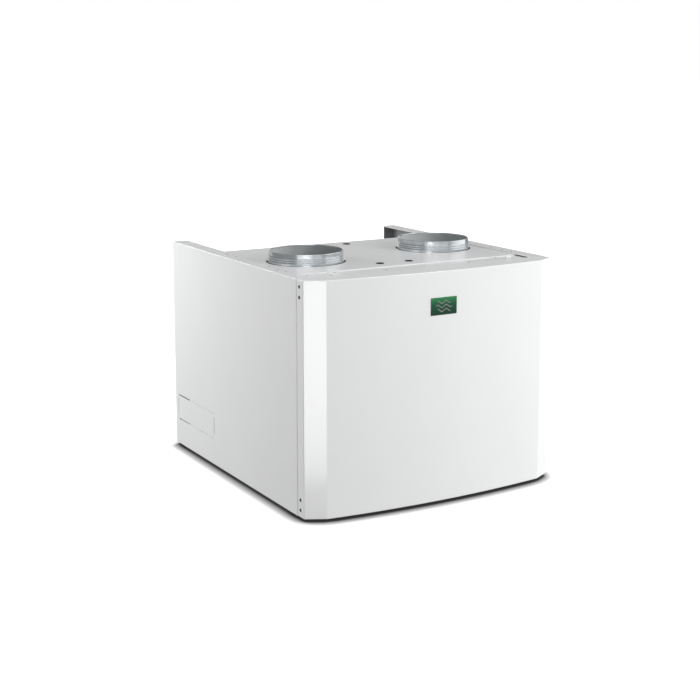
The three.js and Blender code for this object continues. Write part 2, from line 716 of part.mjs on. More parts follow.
function motorStator() {
  const at = [FAN.y, FAN.z];
  const body = rod("x", 35, at, [ROTOR.x0 + 11, FAN.x1 + 3], 24);
  const flange = rod("x", 54, at, [FAN.x1 + GAP, FAN.x1 + 3.3], 32);
  const terminals = block([FAN.x1 + 2, FAN.x1 + 20], [FAN.y - 16, FAN.y + 16], [FAN.z - 12, FAN.z + 12]);
  const bore = rod("x", 5.3, at, [ROTOR.x0 + 10, ROTOR.x0 + 38], 16);
  return cut(join(body, flange, terminals), bore);
}

function fanBracket() {
  const x = [FAN.x1 + GAP, FAN.x1 + GAP + 2];
  const y = [FAN.y - 60, FAN.y + 70];
  const upright = block(x, y, [FLOOR_TOP + GAP, FAN.z - 57]);
  const foot = block([x[0] - 46, x[1]], y, [FLOOR_TOP + GAP, FLOOR_TOP + GAP + 2]);
  return join(upright, foot);
}

const COLLAR = SPIGOT_FLANGE_R + 1;

// The short sheet sleeve that joins the scroll's square throat to the outlet spigot's flange.
function outletCollar() {
  const x = [FAN.x0, FAN.x1];
  const y = [FAN.y + FAN.wide - FAN.throat, FAN.y + FAN.wide];
  const z = [FAN.top + GAP, SPIGOT_FLANGE_Z - GAP];
  const sleeve = block(x, y, z);
  const flange = block(
    [OUTLET.x - COLLAR, OUTLET.x + COLLAR],
    [OUTLET.y - COLLAR, OUTLET.y + COLLAR],
    [z[1] - SHEET, z[1]],
  );
  const bore = block(
    [x[0] + SHEET, x[1] - SHEET],
    [y[0] + SHEET, y[1] - SHEET],
    [z[0] - 1, z[1] + 1],
  );
  return cut(join(sleeve, flange), bore);
}

// ---- Electrics -------------------------------------------------------------------------------
const BOX_BACK = INNER_FRONT - GAP;
const FAN_GLAND = { x: 212, y: (BOX.y0 + BOX_BACK) / 2 };

function controlBox() {
  const { x0, x1, y0, z0, z1, wall } = BOX;
  const outer = block([x0, x1], [y0, BOX_BACK], [z0, z1]);
  const inner = block([x0 + wall, x1 - wall], [y0 - 1, BOX_BACK - wall], [z0 + wall, z1 - wall]);
  const entry = rod("z", 5.8, [FAN_GLAND.x, FAN_GLAND.y], [z0 - 1, z0 + 4], 16);
  return cut(outer, inner, entry);
}

function controlBoxLid() {
  const { x0, x1, y0, z0, z1 } = BOX;
  return block([x0, x1], [y0 - GAP - 2.5, y0 - GAP], [z0, z1]);
}

function circuitBoard() {
  const back = BOX_BACK - BOX.wall - 5;
  const board = block([BOX.x0 + 8, BOX.x1 - 8], [back - 1.6, back], [BOX.z0 + 16, BOX.z1 - 8]);
  const parts = [
    [[134, 162], 14, [398, 416]],
    [[172, 196], 10, [396, 416]],
    [[206, 236], 12, [392, 414]],
    [[138, 176], 6, [346, 376]],
    [[192, 234], 11, [322, 332]],
    [[136, 178], 11, [322, 332]],
  ];
  const blocks = parts.map(([x, tall, z]) => block(x, [back - 1 - tall, back - 1], z));
  return join(board, ...blocks);
}

// A cable gland: a threaded neck through the wall, a hexagon and a dome nut, bored right through.
function glandSolid(axis, across, wallFace, away, bore) {
  const [from, to] = away > 0 ? [wallFace + GAP, wallFace + 6] : [wallFace - 6, wallFace - GAP];
  const hexagon = rod(axis, 9.5, across, [from, to], 6);
  const [d0, d1] = away > 0 ? [to - 1, to + 10] : [from - 10, from + 1];
  const dome = rod(axis, 7.5, across, [d0, d1], 14);
  const [n0, n1] = away > 0 ? [wallFace - 6, from + 1] : [to - 1, wallFace + 6];
  const neck = rod(axis, 5.5, across, [n0, n1], 14);
  return cut(join(hexagon, dome, neck), rod(axis, bore, across, [d0 - 30, d1 + 30], 10));
}

const GLAND = { x: 232, z: 430, thread: 5.5 };
const GLAND_REACH = 16; // how far a gland stands out of its wall

// The motor lead: out of the control box's gland, back through the inner front plate, to the motor.
function fanCable() {
  const exit = new THREE.Vector3(FAN_GLAND.x, FAN_GLAND.y, BOX.z0 - GLAND_REACH - GAP);
  const motor = [FAN.x1 + 11, FAN.y - 16 - GAP, FAN.z];
  const route = [
    exit,
    exit.clone().add(new THREE.Vector3(0, 0, -14)),
    new THREE.Vector3(CABLE_HOLE[0], INNER_FRONT - 7, CABLE_HOLE[1] + 6),
    new THREE.Vector3(CABLE_HOLE[0], INNER_FRONT_BACK + 6, CABLE_HOLE[1] - 3),
    new THREE.Vector3(CABLE_HOLE[0] + 18, INNER_FRONT + 26, CABLE_HOLE[1] - 2),
    new THREE.Vector3(motor[0], motor[1] - 50, motor[2] - 2),
    new THREE.Vector3(motor[0], motor[1] - 18, motor[2]),
    new THREE.Vector3(...motor),
  ];
  return bent(new THREE.CatmullRomCurve3(route), CABLE_R, 8, 20);
}

// ---- Build -----------------------------------------------------------------------------------
for (const [name, side] of Object.entries(SIDES)) {
  add(`${name}_side_panel`, onSide(side, sidePanel()), PAINT);
  add(`${name}_insulation`, onSide(side, sideInsulation()), FOAM);
  add(`cover_clip_${name}`, coverClip(CLIPS[name]), ZINC);
  for (const [level, heights] of Object.entries(SCREW_PAIRS)) {
    add(`cover_bracket_${level}_${name}`, onSide(side, coverBracket(heights)), ZINC);
  }
  add(`foot_front_${name}`, foot(side * (HALF_W - 13), PANEL_FRONT + 30), RUBBER);
  add(`foot_rear_${name}`, foot(side * (HALF_W - 13), BACK - 30), RUBBER);
}

add("base_plate", basePlate(), ZINC);
add("top_plate", topPlate(), PAINT);
add("front_top_rail", frontTopRail(), PAINT);
add("inner_front_plate", innerFrontPlate(), ZINC);
add("back_panel", backPanel(), ZINC);
add("coil_partition", coilPartition(), ZINC);
add("top_insulation", topInsulation(), FOAM);

add("inlet_spigot", spigot(INLET), ZINC);
add("outlet_spigot", spigot(OUTLET), ZINC);
add("inlet_spigot_seal", spigotSeal(INLET), FOAM);
add("outlet_spigot_seal", spigotSeal(OUTLET), FOAM);
for (const [name, at] of Object.entries(GROMMETS)) {
  add(`cable_grommet_${name}`, grommet(at), RUBBER);
}

add("front_cover", frontCover(), PAINT);
add("cover_insulation", coverInsulation(), FOAM);
add("badge_plate", badge(), BADGE_GREEN);

add("filter_channel_upper", filterChannel("down"), ZINC);
add("filter_channel_lower", filterChannel("up"), ZINC);
add("filter_frame", filterFrame(), GREY_PLASTIC);
add("filter_media", filterMedia(), FILTER_WHITE);
add("filter_front_plate", filterCap(), ZINC);
add("filter_handle", filterHandle(), DARK_PLASTIC);

add("coil_frame", coilFrame(), ZINC);
add("coil_fins", coilFins(), ALUMINIUM);
add("coil_tubes_inlet_row", coilTubes(TUBE.rows[0]), COPPER);
add("coil_tubes_outlet_row", coilTubes(TUBE.rows[1]), COPPER);
add("coil_header_supply", coilHeader(headerHeights[0], false), COPPER);
add("coil_header_return", coilHeader(headerHeights[1], true), COPPER);
add("air_vent_screw", airVentScrew(headerHeights[1]), BRASS);
add("drip_tray", dripTray(), GREY_PLASTIC);
add("drain_stub", drainStub(), DARK_PLASTIC);

add("blower_housing", blowerHousing(), ZINC);
add("blower_inlet_ring", inletRing(), ZINC);
add("blower_bracket", fanBracket(), ZINC);
add("outlet_collar", outletCollar(), ZINC);
add("impeller", impeller(), DARK_PLASTIC);
add("motor_rotor", motorRotor(), ALUMINIUM);
add("motor_stator", motorStator(), ALUMINIUM);

add("control_box", controlBox(), GREY_PLASTIC);
add("control_box_lid", controlBoxLid(), GREY_PLASTIC);
add("circuit_board", circuitBoard(), BOARD_GREEN);
add(
  "fan_cable_gland",
  glandSolid("z", [FAN_GLAND.x, FAN_GLAND.y], BOX.z0, -1, CABLE_R + GAP),
  DARK_PLASTIC,
);
add("fan_cable", fanCable(), DARK_PLASTIC);
add("supply_cable_gland", glandSolid("y", [GLAND.x, GLAND.z], BODY_BACK, 1, 4), DARK_PLASTIC);

export default group;
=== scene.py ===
import math

import bmesh
import bpy
from mathutils import Matrix, Vector, noise

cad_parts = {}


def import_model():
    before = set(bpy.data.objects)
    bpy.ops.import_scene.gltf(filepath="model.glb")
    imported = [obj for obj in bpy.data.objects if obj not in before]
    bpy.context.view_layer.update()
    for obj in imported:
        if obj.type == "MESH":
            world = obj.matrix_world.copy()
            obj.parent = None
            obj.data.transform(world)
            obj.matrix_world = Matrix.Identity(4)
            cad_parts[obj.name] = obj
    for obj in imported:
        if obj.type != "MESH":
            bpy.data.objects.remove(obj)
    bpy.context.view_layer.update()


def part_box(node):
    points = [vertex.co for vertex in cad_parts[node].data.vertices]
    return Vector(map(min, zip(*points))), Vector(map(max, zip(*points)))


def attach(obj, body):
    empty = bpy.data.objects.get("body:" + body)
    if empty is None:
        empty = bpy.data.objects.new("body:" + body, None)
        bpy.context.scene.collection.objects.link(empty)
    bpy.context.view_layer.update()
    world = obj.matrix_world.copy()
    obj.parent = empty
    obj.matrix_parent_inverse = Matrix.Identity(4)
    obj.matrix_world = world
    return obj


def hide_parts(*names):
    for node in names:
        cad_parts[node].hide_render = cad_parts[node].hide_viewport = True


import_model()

# A sheet-steel heat recovery unit. Lengths are in millimetres here, and to_object() turns every mesh
# into metres. +X is right seen from the front, +Y is back, +Z is up, as in the CAD frame.
MM = 0.001

# ---- Sizes -------------------------------------------------------------------------------------


def box_mm(node):
    low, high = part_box(node)
    return low / MM, high / MM


PANEL_LOW, PANEL_HIGH = box_mm("right_side_panel")
COVER_LOW, COVER_HIGH = box_mm("front_cover")
PLATE_LOW, PLATE_HIGH = box_mm("top_plate")
RAIL_LOW, RAIL_HIGH = box_mm("front_top_rail")
INLET_LOW, INLET_HIGH = box_mm("inlet_spigot")
BADGE_LOW, BADGE_HIGH = box_mm("badge_plate")
BACK_LOW, BACK_HIGH = box_mm("back_panel")
INNER_LOW = box_mm("inner_front_plate")[0]

SHEET = 1.5
LAP = 0.3  # a flange stops this far short of a panel's corner
UNDER_LAP = SHEET + LAP
NOTCH = 3.0  # how far the upright flanges' corners are cut back
FOLD = 1.6  # the outer radius of a fold
SHARP = 35  # the angle in degrees from which two faces meet in an edge
FLAT = 0.999999  # the cosine between two faces that count as one flat stretch

HALF_W = PANEL_HIGH.x
TOP = PANEL_HIGH.z
BOTTOM = PANEL_LOW.z
# Dark foam strips behind the knock-out's wide slits, painted shade: how far past the wide stretch they reach,
# and half their height.
SHADE_TAPE = {"beyond": 5, "half": 7}
FLANGE = {"top": 35.5, "low": 25.0, "rear": 30.0, "front": 25.5}
# The knock-out in a side panel: its edges, the widths of its slits and the tabs that hold it.
KNOCKOUT = {"y0": 119.7, "y1": 315.7, "z0": 66.0, "z1": 122.5, "wide": 2.3, "narrow": 1.0,
            "upright": 2.4, "dark": 65, "tab": 9}

BOW = 16.5
CHAMFER_DEPTH = 21.4
FACE_HALF = 256.5
BOW_RADIUS = (FACE_HALF**2 + BOW**2) / (2 * BOW)
COVER_LIP = 26.0
ARC_STEPS = 64  # flat faces across the bow

SPIGOT_R = 80.0
SPIGOT_HOLE_R = 83.0
STUD_HOLE_R = 4.6
BRIGHT_RIM = 2.5  # below this depth a spigot's bore is dull
GROMMET_HOLE_R = 7.4

# ---- Mesh helpers ------------------------------------------------------------------------------


def to_object(name, bm):
    bmesh.ops.scale(bm, vec=(MM, MM, MM), verts=bm.verts)
    mesh = bpy.data.meshes.new(name)
    bm.to_mesh(mesh)
    bm.free()
    piece = bpy.data.objects.new(name, mesh)
    bpy.context.scene.collection.objects.link(piece)
    return piece


def mirror_mesh(bm):
    bmesh.ops.scale(bm, vec=(-1, 1, 1), verts=bm.verts)
    bmesh.ops.reverse_faces(bm, faces=bm.faces)


def bake(piece):
    """Turns what the modifiers make into the piece's own mesh."""
    bpy.context.view_layer.update()
    depsgraph = bpy.context.evaluated_depsgraph_get()
    mesh = bpy.data.meshes.new_from_object(piece.evaluated_get(depsgraph))
    piece.modifiers.clear()
    piece.data = mesh
    return piece


def facing(bm, axis, sign):
    return [f for f in bm.faces if sign * f.normal[axis] > 0.999]


def slice_wall(bm, axis, sign, planes):
    """Cuts the wall that faces one way along planes, each an (axis, position) pair."""
    for across, position in planes:
        faces = facing(bm, axis, sign)
        edges = list({e for f in faces for e in f.edges})
        verts = list({v for f in faces for v in f.verts})
        point, normal = [0, 0, 0], [0, 0, 0]
        point[across], normal[across] = position, 1
        bmesh.ops.bisect_plane(bm, geom=[*verts, *edges, *faces], dist=1e-5, plane_co=point, plane_no=normal)


def pierce(bm, openings):
    """Opens rectangles (y0, y1, z0, z1) in the wall that faces +X."""
    for y0, y1, z0, z1 in openings:
        slice_wall(bm, 0, 1, ((1, y0), (1, y1), (2, z0), (2, z1)))
    gone = []
    for face in facing(bm, 0, 1):
        spot = face.calc_center_median()
        if any(y0 < spot.y < y1 and z0 < spot.z < z1 for y0, y1, z0, z1 in openings):
            gone.append(face)
    bmesh.ops.delete(bm, geom=gone, context="FACES")


def punch(bm, centres, radius):
    """Opens round holes in the wall that faces -Y: each is a square opening, filled in round a circle."""
    half, steps = radius * 1.4, 8
    for x, z in centres:
        slice_wall(bm, 1, -1, ((0, x - half), (0, x + half), (2, z - half), (2, z + half)))
        wall = facing(bm, 1, -1)
        square = min(wall, key=lambda f: (f.calc_center_median().xz - Vector((x, z))).length)
        corners = sorted(square.verts, key=lambda v: math.atan2(v.co.z - z, v.co.x - x))
        y = square.calc_center_median().y
        bmesh.ops.delete(bm, geom=[square], context="FACES_ONLY")
        circle = []
        for i in range(4 * steps):
            angle = math.radians(-135) + 2 * math.pi * i / (4 * steps)
            circle.append(bm.verts.new((x + radius * math.cos(angle), y, z + radius * math.sin(angle))))
        for i, corner in enumerate(corners):
            after = corners[(i + 1) % 4]
            arc = [circle[(i * steps + j) % len(circle)] for j in range(steps + 1)]
            face = bm.faces.new([corner, after, *reversed(arc)])
            face.normal_update()
            if face.normal.y > 0:
                face.normal_flip()


def folded(name, outlines, thickness=SHEET, fold=FOLD, steps=4, side=1, openings=(), punched=(), punch_r=1,
           coats=()):
    """A folded sheet: outlines lie on its outer side, and edges that two of them share are folds.
    coats are its outer and inner material, if they differ."""
    bm = bmesh.new()
    for outline in outlines:
        bm.faces.new([bm.verts.new(point) for point in outline])
    bmesh.ops.remove_doubles(bm, verts=bm.verts, dist=0.01)
    folds = [e for e in bm.edges if len(e.link_faces) == 2 and e.calc_face_angle(0) > math.radians(5)]
    bmesh.ops.bevel(bm, geom=folds, offset=fold, segments=steps, profile=0.5, affect="EDGES")
    bm.normal_update()
    pierce(bm, openings)
    punch(bm, punched, punch_r)
    if side < 0:
        mirror_mesh(bm)
    piece = to_object(name, bm)
    solidify = piece.modifiers.new("thickness", "SOLIDIFY")
    solidify.thickness = thickness * MM
    solidify.offset = -1
    solidify.use_even_offset = True
    for coat in coats:
        piece.data.materials.append(coat)
        solidify.material_offset = 1
    return piece


def block_mesh(bm, low, high):
    """Adds a box between two corners."""
    centre = [(a + b) / 2 for a, b in zip(low, high)]
    size = [b - a for a, b in zip(low, high)]
    matrix = Matrix.Translation(centre) @ Matrix.Diagonal((*size, 1))
    bmesh.ops.create_cube(bm, size=1, matrix=matrix)


def blocks(name, pairs):
    bm = bmesh.new()
    for low, high in pairs:
        block_mesh(bm, low, high)
    return to_object(name, bm)


AXIS_TURN = {
    "x": Matrix.Rotation(math.radians(90), 4, "Y"),
    "y": Matrix.Rotation(math.radians(-90), 4, "X"),
    "z": Matrix.Identity(4),
}


def turned_mesh(bm, profile, centre, axis="z", steps=64):
    """Adds a solid of revolution: profile is (radius, distance along the axis) pairs. It starts and ends
    on the axis, or is a closed ring where its first radius is above zero."""
    place = Matrix.Translation(centre) @ AXIS_TURN[axis]
    ring = profile[0][0] > 1e-6
    columns = []
    for i in range(steps):
        angle = 2 * math.pi * i / steps
        columns.append([(r * math.cos(angle), r * math.sin(angle), along) for r, along in profile])
    rows = [[bm.verts.new(place @ Vector(column[j])) for column in columns] for j in range(len(profile))]
    count = len(profile) if ring else len(profile) - 1
    faces = []
    for j in range(count):
        low, high = rows[j], rows[(j + 1) % len(profile)]
        for i in range(steps):
            k = (i + 1) % steps
            faces.append(bm.faces.new((low[i], low[k], high[k], high[i])))
    bmesh.ops.remove_doubles(bm, verts=[v for row in rows for v in row], dist=1e-4)
    alive = [f for f in faces if f.is_valid]
    bmesh.ops.recalc_face_normals(bm, faces=alive)


def turned(name, profile, centre, axis="z", steps=64):
    bm = bmesh.new()
    turned_mesh(bm, profile, centre, axis, steps)
    return to_object(name, bm)


def rod_mesh(bm, radius, start, length, axis="z", steps=48):
    turned_mesh(bm, [(0, 0), (radius, 0), (radius, length), (0, length)], start, axis, steps)


def rods(name, items, axis="z", steps=48):
    """Plain round bars as one mesh: items are (radius, start point, length)."""
    bm = bmesh.new()
    for radius, start, length in items:
        rod_mesh(bm, radius, start, length, axis, steps)
    return to_object(name, bm)


def sweep_mesh(bm, path, section, side=None):
    """Sweeps a closed outline of (across, up) pairs along points, with flat ends."""
    path = [Vector(point) for point in path]
    rows = []
    for i, point in enumerate(path):
        tangent = (path[min(i + 1, len(path) - 1)] - path[max(i - 1, 0)]).normalized()
        side = tangent.orthogonal() if side is None else Vector(side)
        side = (side - tangent * side.dot(tangent)).normalized()
        up = tangent.cross(side)
        rows.append([bm.verts.new(point + side * u + up * v) for u, v in section])
    faces = [bm.faces.new(rows[0][::-1]), bm.faces.new(rows[-1])]
    for low, high in zip(rows, rows[1:]):
        for i in range(len(section)):
            k = (i + 1) % len(section)
            faces.append(bm.faces.new((low[i], low[k], high[k], high[i])))
    bmesh.ops.recalc_face_normals(bm, faces=faces)


def round_section(radius, steps=20):
    return [(radius * math.cos(2 * math.pi * i / steps), radius * math.sin(2 * math.pi * i / steps))
            for i in range(steps)]


def prism_mesh(bm, outline, axis, start, end):
    """Pulls a flat outline along an axis: its pairs are the other two axes, in their order."""
    index = "xyz".index(axis)
    rows = []
    for along in (start, end):
        row = []
        for pair in outline:
            point = list(pair)
            point.insert(index, along)
            row.append(bm.verts.new(point))
        rows.append(row)
    low, high = rows
    faces = [bm.faces.new(low), bm.faces.new(high[::-1])]
    for i in range(len(outline)):
        k = (i + 1) % len(outline)
        faces.append(bm.faces.new((low[i], high[i], high[k], low[k])))
    bmesh.ops.recalc_face_normals(bm, faces=faces)


def prism(name, outline, axis, start, end):
    bm = bmesh.new()
    prism_mesh(bm, outline, axis, start, end)
    return to_object(name, bm)


def spline(points, steps=6):
    """A Catmull-Rom curve through 2-D or 3-D points, ends included."""
    padded = [points[0], *points, points[-1]]
    curve = []
    for a, b, c, d in zip(padded, padded[1:], padded[2:], padded[3:]):
        for i in range(steps):
            t = i / steps
            point = []
            for p, q, r, s in zip(a, b, c, d):
                square, cube = 2 * p - 5 * q + 4 * r - s, 3 * q - p - 3 * r + s
                point.append(0.5 * (2 * q + (r - p) * t + square * t**2 + cube * t**3))
            curve.append(tuple(point))
    return [*curve, tuple(points[-1])]


def cut(piece, *cutters):
    """Cuts closed pieces out of a piece and removes them."""
    piece.modifiers.new("triangles", "TRIANGULATE")
    bake(piece)
    for cutter in cutters:
        boolean = piece.modifiers.new("cut", "BOOLEAN")
        boolean.operation = "DIFFERENCE"
        boolean.solver = "MANIFOLD"
        boolean.object = cutter
        bake(piece)
        bpy.data.objects.remove(cutter)
    return piece


def flat_groups(bm):
    """Numbers the flat stretches of a mesh and adds up their areas."""
    group, areas = {}, []
    for seed in bm.faces:
        if seed.index in group:
            continue
        group[seed.index] = len(areas)
        stack, area = [seed], 0.0
        while stack:
            face = stack.pop()
            area += face.calc_area()
            for other in [f for e in face.edges for f in e.link_faces]:
                if other.index not in group and other.normal.dot(seed.normal) > FLAT:
                    group[other.index] = len(areas)
                    stack.append(other)
        areas.append(area)
    return group, areas


def shade(piece, angle=SHARP):
    """Smooth shading in which a flat stretch keeps its own normal, however its faces are cut up."""
    bm = bmesh.new()
    bm.from_mesh(piece.data)
    bm.normal_update()
    group, areas = flat_groups(bm)
    limit = math.cos(math.radians(angle))
    normals = []
    for face in bm.faces:
        for vert in [loop.vert for loop in face.loops]:
            near = {group[f.index]: f.normal for f in vert.link_faces if f.normal.dot(face.normal) > limit}
            near[group[face.index]] = face.normal
            total = sum((normal * areas[number] for number, normal in near.items()), Vector())
            normals.append(total.normalized())
    bm.free()
    piece.data.polygons.foreach_set("use_smooth", [True] * len(piece.data.polygons))
    piece.data.normals_split_custom_set(normals)
    return piece


def fine_edges(piece, width, steps=2):
    """Rounds the sharp edges a little and shades the faces smooth."""
    bevel = piece.modifiers.new("edges", "BEVEL")
    bevel.width = width * MM
    bevel.segments = steps
    bevel.limit_method = "ANGLE"
    bevel.angle_limit = math.radians(SHARP)
    return shade(bake(piece))


def smooth(piece, angle=SHARP):
    piece.data.polygons.foreach_set("use_smooth", [True] * len(piece.data.polygons))
    piece.data.set_sharp_from_angle(angle=math.radians(angle))
    return piece


def place(piece, body, material, *nodes):
    """Gives a piece its body, its material, and the nodes it replaces."""
    if not any(piece.data.materials):
        piece.data.materials.clear()
        piece.data.materials.append(material)
    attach(piece, body)
    if nodes:
        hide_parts(*nodes)
    return piece


# ---- Materials ---------------------------------------------------------------------------------


class Nodes:
    """One material's node tree, with the object's own coordinates as the texture space."""

    def __init__(self, name, colour, roughness, metallic=0.0):
        self.material = bpy.data.materials.new(name)
        self.material.use_nodes = True
        self.tree = self.material.node_tree
        self.shader = self.tree.nodes["Principled BSDF"]
        self.shader.inputs["Base Color"].default_value = (*colour, 1)
        self.shader.inputs["Roughness"].default_value = roughness
        self.shader.inputs["Metallic"].default_value = metallic
        self.coordinates = self.add("ShaderNodeTexCoord").outputs["Object"]

    def add(self, kind, **values):
        node = self.tree.nodes.new(kind)
        for name, value in values.items():
            if name in node.inputs:
                node.inputs[name].default_value = value
            else:
                setattr(node, name, value)
        return node

    def link(self, output, target):
        self.tree.links.new(output, target)

    def stretched(self, scale):
        mapping = self.add("ShaderNodeMapping", Scale=scale)
        self.link(self.coordinates, mapping.inputs["Vector"])
        return mapping.outputs["Vector"]

    def noise(self, scale, detail=3.0, vector=None):
        node = self.add("ShaderNodeTexNoise", Scale=scale, Detail=detail)
        self.link(vector or self.coordinates, node.inputs["Vector"])
        return node.outputs["Fac"]

    def cells(self, scale, output="Color"):
        node = self.add("ShaderNodeTexVoronoi", Scale=scale)
        self.link(self.coordinates, node.inputs["Vector"])
        return node.outputs[output]

    def grey(self, colour_output):
        node = self.add("ShaderNodeSeparateColor")
        self.link(colour_output, node.inputs["Color"])
        return node.outputs["Red"]

    def vary_colour(self, source, stops):
        ramp = self.add("ShaderNodeValToRGB")
        elements = ramp.color_ramp.elements
        while len(elements) < len(stops):
            elements.new(0.5)
        for element, (position, colour) in zip(elements, stops):
            element.position = position
            element.color = (*colour, 1)
        self.link(source, ramp.inputs["Fac"])
        self.link(ramp.outputs["Color"], self.shader.inputs["Base Color"])

    def vary_roughness(self, source, low, high):
        node = self.add("ShaderNodeMapRange")
        node.inputs["To Min"].default_value = low
        node.inputs["To Max"].default_value = high
        self.link(source, node.inputs["Value"])
        self.link(node.outputs["Result"], self.shader.inputs["Roughness"])

    def bump(self, source, strength, depth_mm):
        node = self.add("ShaderNodeBump", Strength=strength, Distance=depth_mm * MM)
        self.link(source, node.inputs["Height"])
        previous = self.shader.inputs["Normal"]
        if previous.is_linked:
            self.link(previous.links[0].from_socket, node.inputs["Normal"])
        self.link(node.outputs["Normal"], previous)


def scaled(colour, factor):
    return tuple(channel * factor for channel in colour)


def powder_coat():
    """White powder coat: even colour, satin gloss and a fine orange-peel surface."""
    n = Nodes("white_powder_coat", WHITE, 0.34)
    n.vary_colour(n.noise(9, 2), [(0.3, scaled(WHITE, 0.985)), (0.7, WHITE)])
    n.vary_roughness(n.noise(35, 3), 0.30, 0.38)
    n.bump(n.noise(620, 2), 0.12, 0.05)
    n.bump(n.noise(2400, 1), 0.08, 0.02)
    n.shader.inputs["Coat Weight"].default_value = 0.4
    n.shader.inputs["Coat Roughness"].default_value = 0.12
    return n.material


def galvanised():
    """Hot-dip zinc: a patchwork of crystals, each with its own tone and gloss."""
    n = Nodes("galvanised_sheet", DIPPED, 0.40, 1.0)
    crystal = n.grey(n.cells(150))
    n.vary_colour(crystal, [(0.0, scaled(DIPPED, 0.93)), (0.5, DIPPED), (1.0, scaled(DIPPED, 1.05))])
    n.vary_roughness(crystal, 0.40, 0.47)
    n.bump(n.noise(900, 3), 0.06, 0.03)
    return n.material


def spun_zinc():
    """Zinc sheet that was rolled and spun: fine rings and faint clouds."""
    n = Nodes("spun_zinc", ZINC, 0.16, 1.0)
    rings = n.noise(1, 4, n.stretched((6, 6, 1400)))
    n.vary_colour(n.noise(28, 4), [(0.25, scaled(ZINC, 0.9)), (0.75, scaled(ZINC, 1.05))])
    n.vary_roughness(rings, 0.18, 0.23)
    n.bump(rings, 0.015, 0.01)
    return n.material


def zinc_bore():
    """The dull inner side of a spun spigot."""
    n = Nodes("dull_zinc", BORE_GREY, 0.5, 0.25)
    n.vary_colour(n.noise(22, 4), [(0.3, scaled(BORE_GREY, 0.88)), (0.7, scaled(BORE_GREY, 1.1))])
    n.vary_roughness(n.noise(1, 3, n.stretched((6, 6, 700))), 0.42, 0.55)
    n.bump(n.noise(600, 2), 0.06, 0.02)
    return n.material


def back_coat_and_shade():
    """The thin grey coat on the inner side of painted sheet; its dark grey is partly painted shade for the
    inside of the casing.
    """
    n = Nodes("grey_back_coat_and_painted_shade", BACK_SHADE_GREY, 0.6)
    n.vary_colour(n.noise(14, 3), [(0.3, scaled(BACK_SHADE_GREY, 0.9)), (0.7, scaled(BACK_SHADE_GREY, 1.08))])
    n.vary_roughness(n.noise(60, 3), 0.5, 0.66)
    n.bump(n.noise(900, 2), 0.1, 0.03)
    return n.material


def metal(name, tone, dark, rough_low, rough_high, scale=60):
    """Plain metal with tarnish clouds and a fine drawn grain."""
    n = Nodes(name, tone, rough_low, 1.0)
    clouds = n.noise(scale, 5)
    n.vary_colour(clouds, [(0.3, dark), (0.62, tone)])
    n.vary_roughness(clouds, rough_high, rough_low)
    n.bump(n.noise(1800, 2), 0.08, 0.02)
    return n.material


def moulded(name, tone, roughness):
    """Moulded plastic with a fine spark-eroded grain."""
    n = Nodes(name, tone, roughness)
    n.vary_colour(n.noise(14, 2), [(0.3, scaled(tone, 0.9)), (0.7, scaled(tone, 1.06))])
    n.vary_roughness(n.noise(300, 3), roughness - 0.06, roughness + 0.08)
    n.bump(n.cells(1500, "Distance"), 0.16, 0.05)
    return n.material


def rubber():
    n = Nodes("black_rubber", RUBBER, 0.7)
    n.vary_colour(n.noise(40, 4), [(0.35, scaled(RUBBER, 0.75)), (0.7, scaled(RUBBER, 1.5))])
    n.vary_roughness(n.noise(90, 3), 0.6, 0.85)
    n.bump(n.noise(1600, 3), 0.25, 0.05)
    return n.material


def foam():
    """Dark open-cell insulation: hollow cells between walls, each hollow darkened towards its middle as
    painted shade.
    """
    n = Nodes("insulation_foam", FOAM, 0.95)
    pore_cells_and_shade = n.cells(420, "Distance")
    # The cell pattern also darkens the colour in each hollow: painted shade.
    n.vary_colour(pore_cells_and_shade, [(0.0, scaled(FOAM, 0.45)), (0.45, FOAM), (1.0, scaled(FOAM, 1.7))])
    n.bump(pore_cells_and_shade, 0.8, 0.6)
    n.shader.inputs["Sheen Weight"].default_value = 0.2
    return n.material


def fleece():
    """Filter fleece: tangled fibres."""
    n = Nodes("filter_fleece", FLEECE, 0.95)
    fibres = n.noise(1, 6, n.stretched((900, 260, 1500)))
    n.vary_colour(fibres, [(0.3, scaled(FLEECE, 0.82)), (0.65, FLEECE)])
    n.bump(fibres, 0.5, 0.25)
    n.bump(n.noise(420, 4), 0.4, 0.3)
    n.shader.inputs["Sheen Weight"].default_value = 0.35
    return n.material


def board_lacquer():
    """Green solder mask over a faint pattern of tracks."""
    n = Nodes("solder_mask", BOARD, 0.32)
    tracks = n.add("ShaderNodeTexBrick", Scale=170.0, offset=0.5)
    tracks.inputs["Mortar Size"].default_value = 0.05
    n.link(n.stretched((1, 1, 1)), tracks.inputs["Vector"])
    n.vary_colour(tracks.outputs["Fac"], [(0.0, BOARD), (1.0, scaled(BOARD, 1.9))])
    n.bump(tracks.outputs["Fac"], 0.3, 0.05)
    return n.material


def badge_enamel():
    """Dark green enamel that is lighter towards its upper edge."""
    n = Nodes("badge_enamel", GREEN_DARK, 0.18)
    split = n.add("ShaderNodeSeparateXYZ")
    n.link(n.coordinates, split.inputs["Vector"])
    rise = n.add("ShaderNodeMapRange")
    rise.inputs["From Min"].default_value = BADGE_LOW.z * MM
    rise.inputs["From Max"].default_value = BADGE_HIGH.z * MM
    n.link(split.outputs["Z"], rise.inputs["Value"])
    n.vary_colour(rise.outputs["Result"], [(0.0, GREEN_DARK), (0.6, GREEN), (1.0, GREEN_LIGHT)])
    n.vary_roughness(n.noise(120, 3), 0.14, 0.24)
    n.bump(n.noise(500, 2), 0.05, 0.03)
    n.shader.inputs["Coat Weight"].default_value = 0.5
    return n.material


WHITE = (0.84, 0.845, 0.85)
ZINC = (0.66, 0.69, 0.71)
DIPPED = (0.58, 0.60, 0.62)
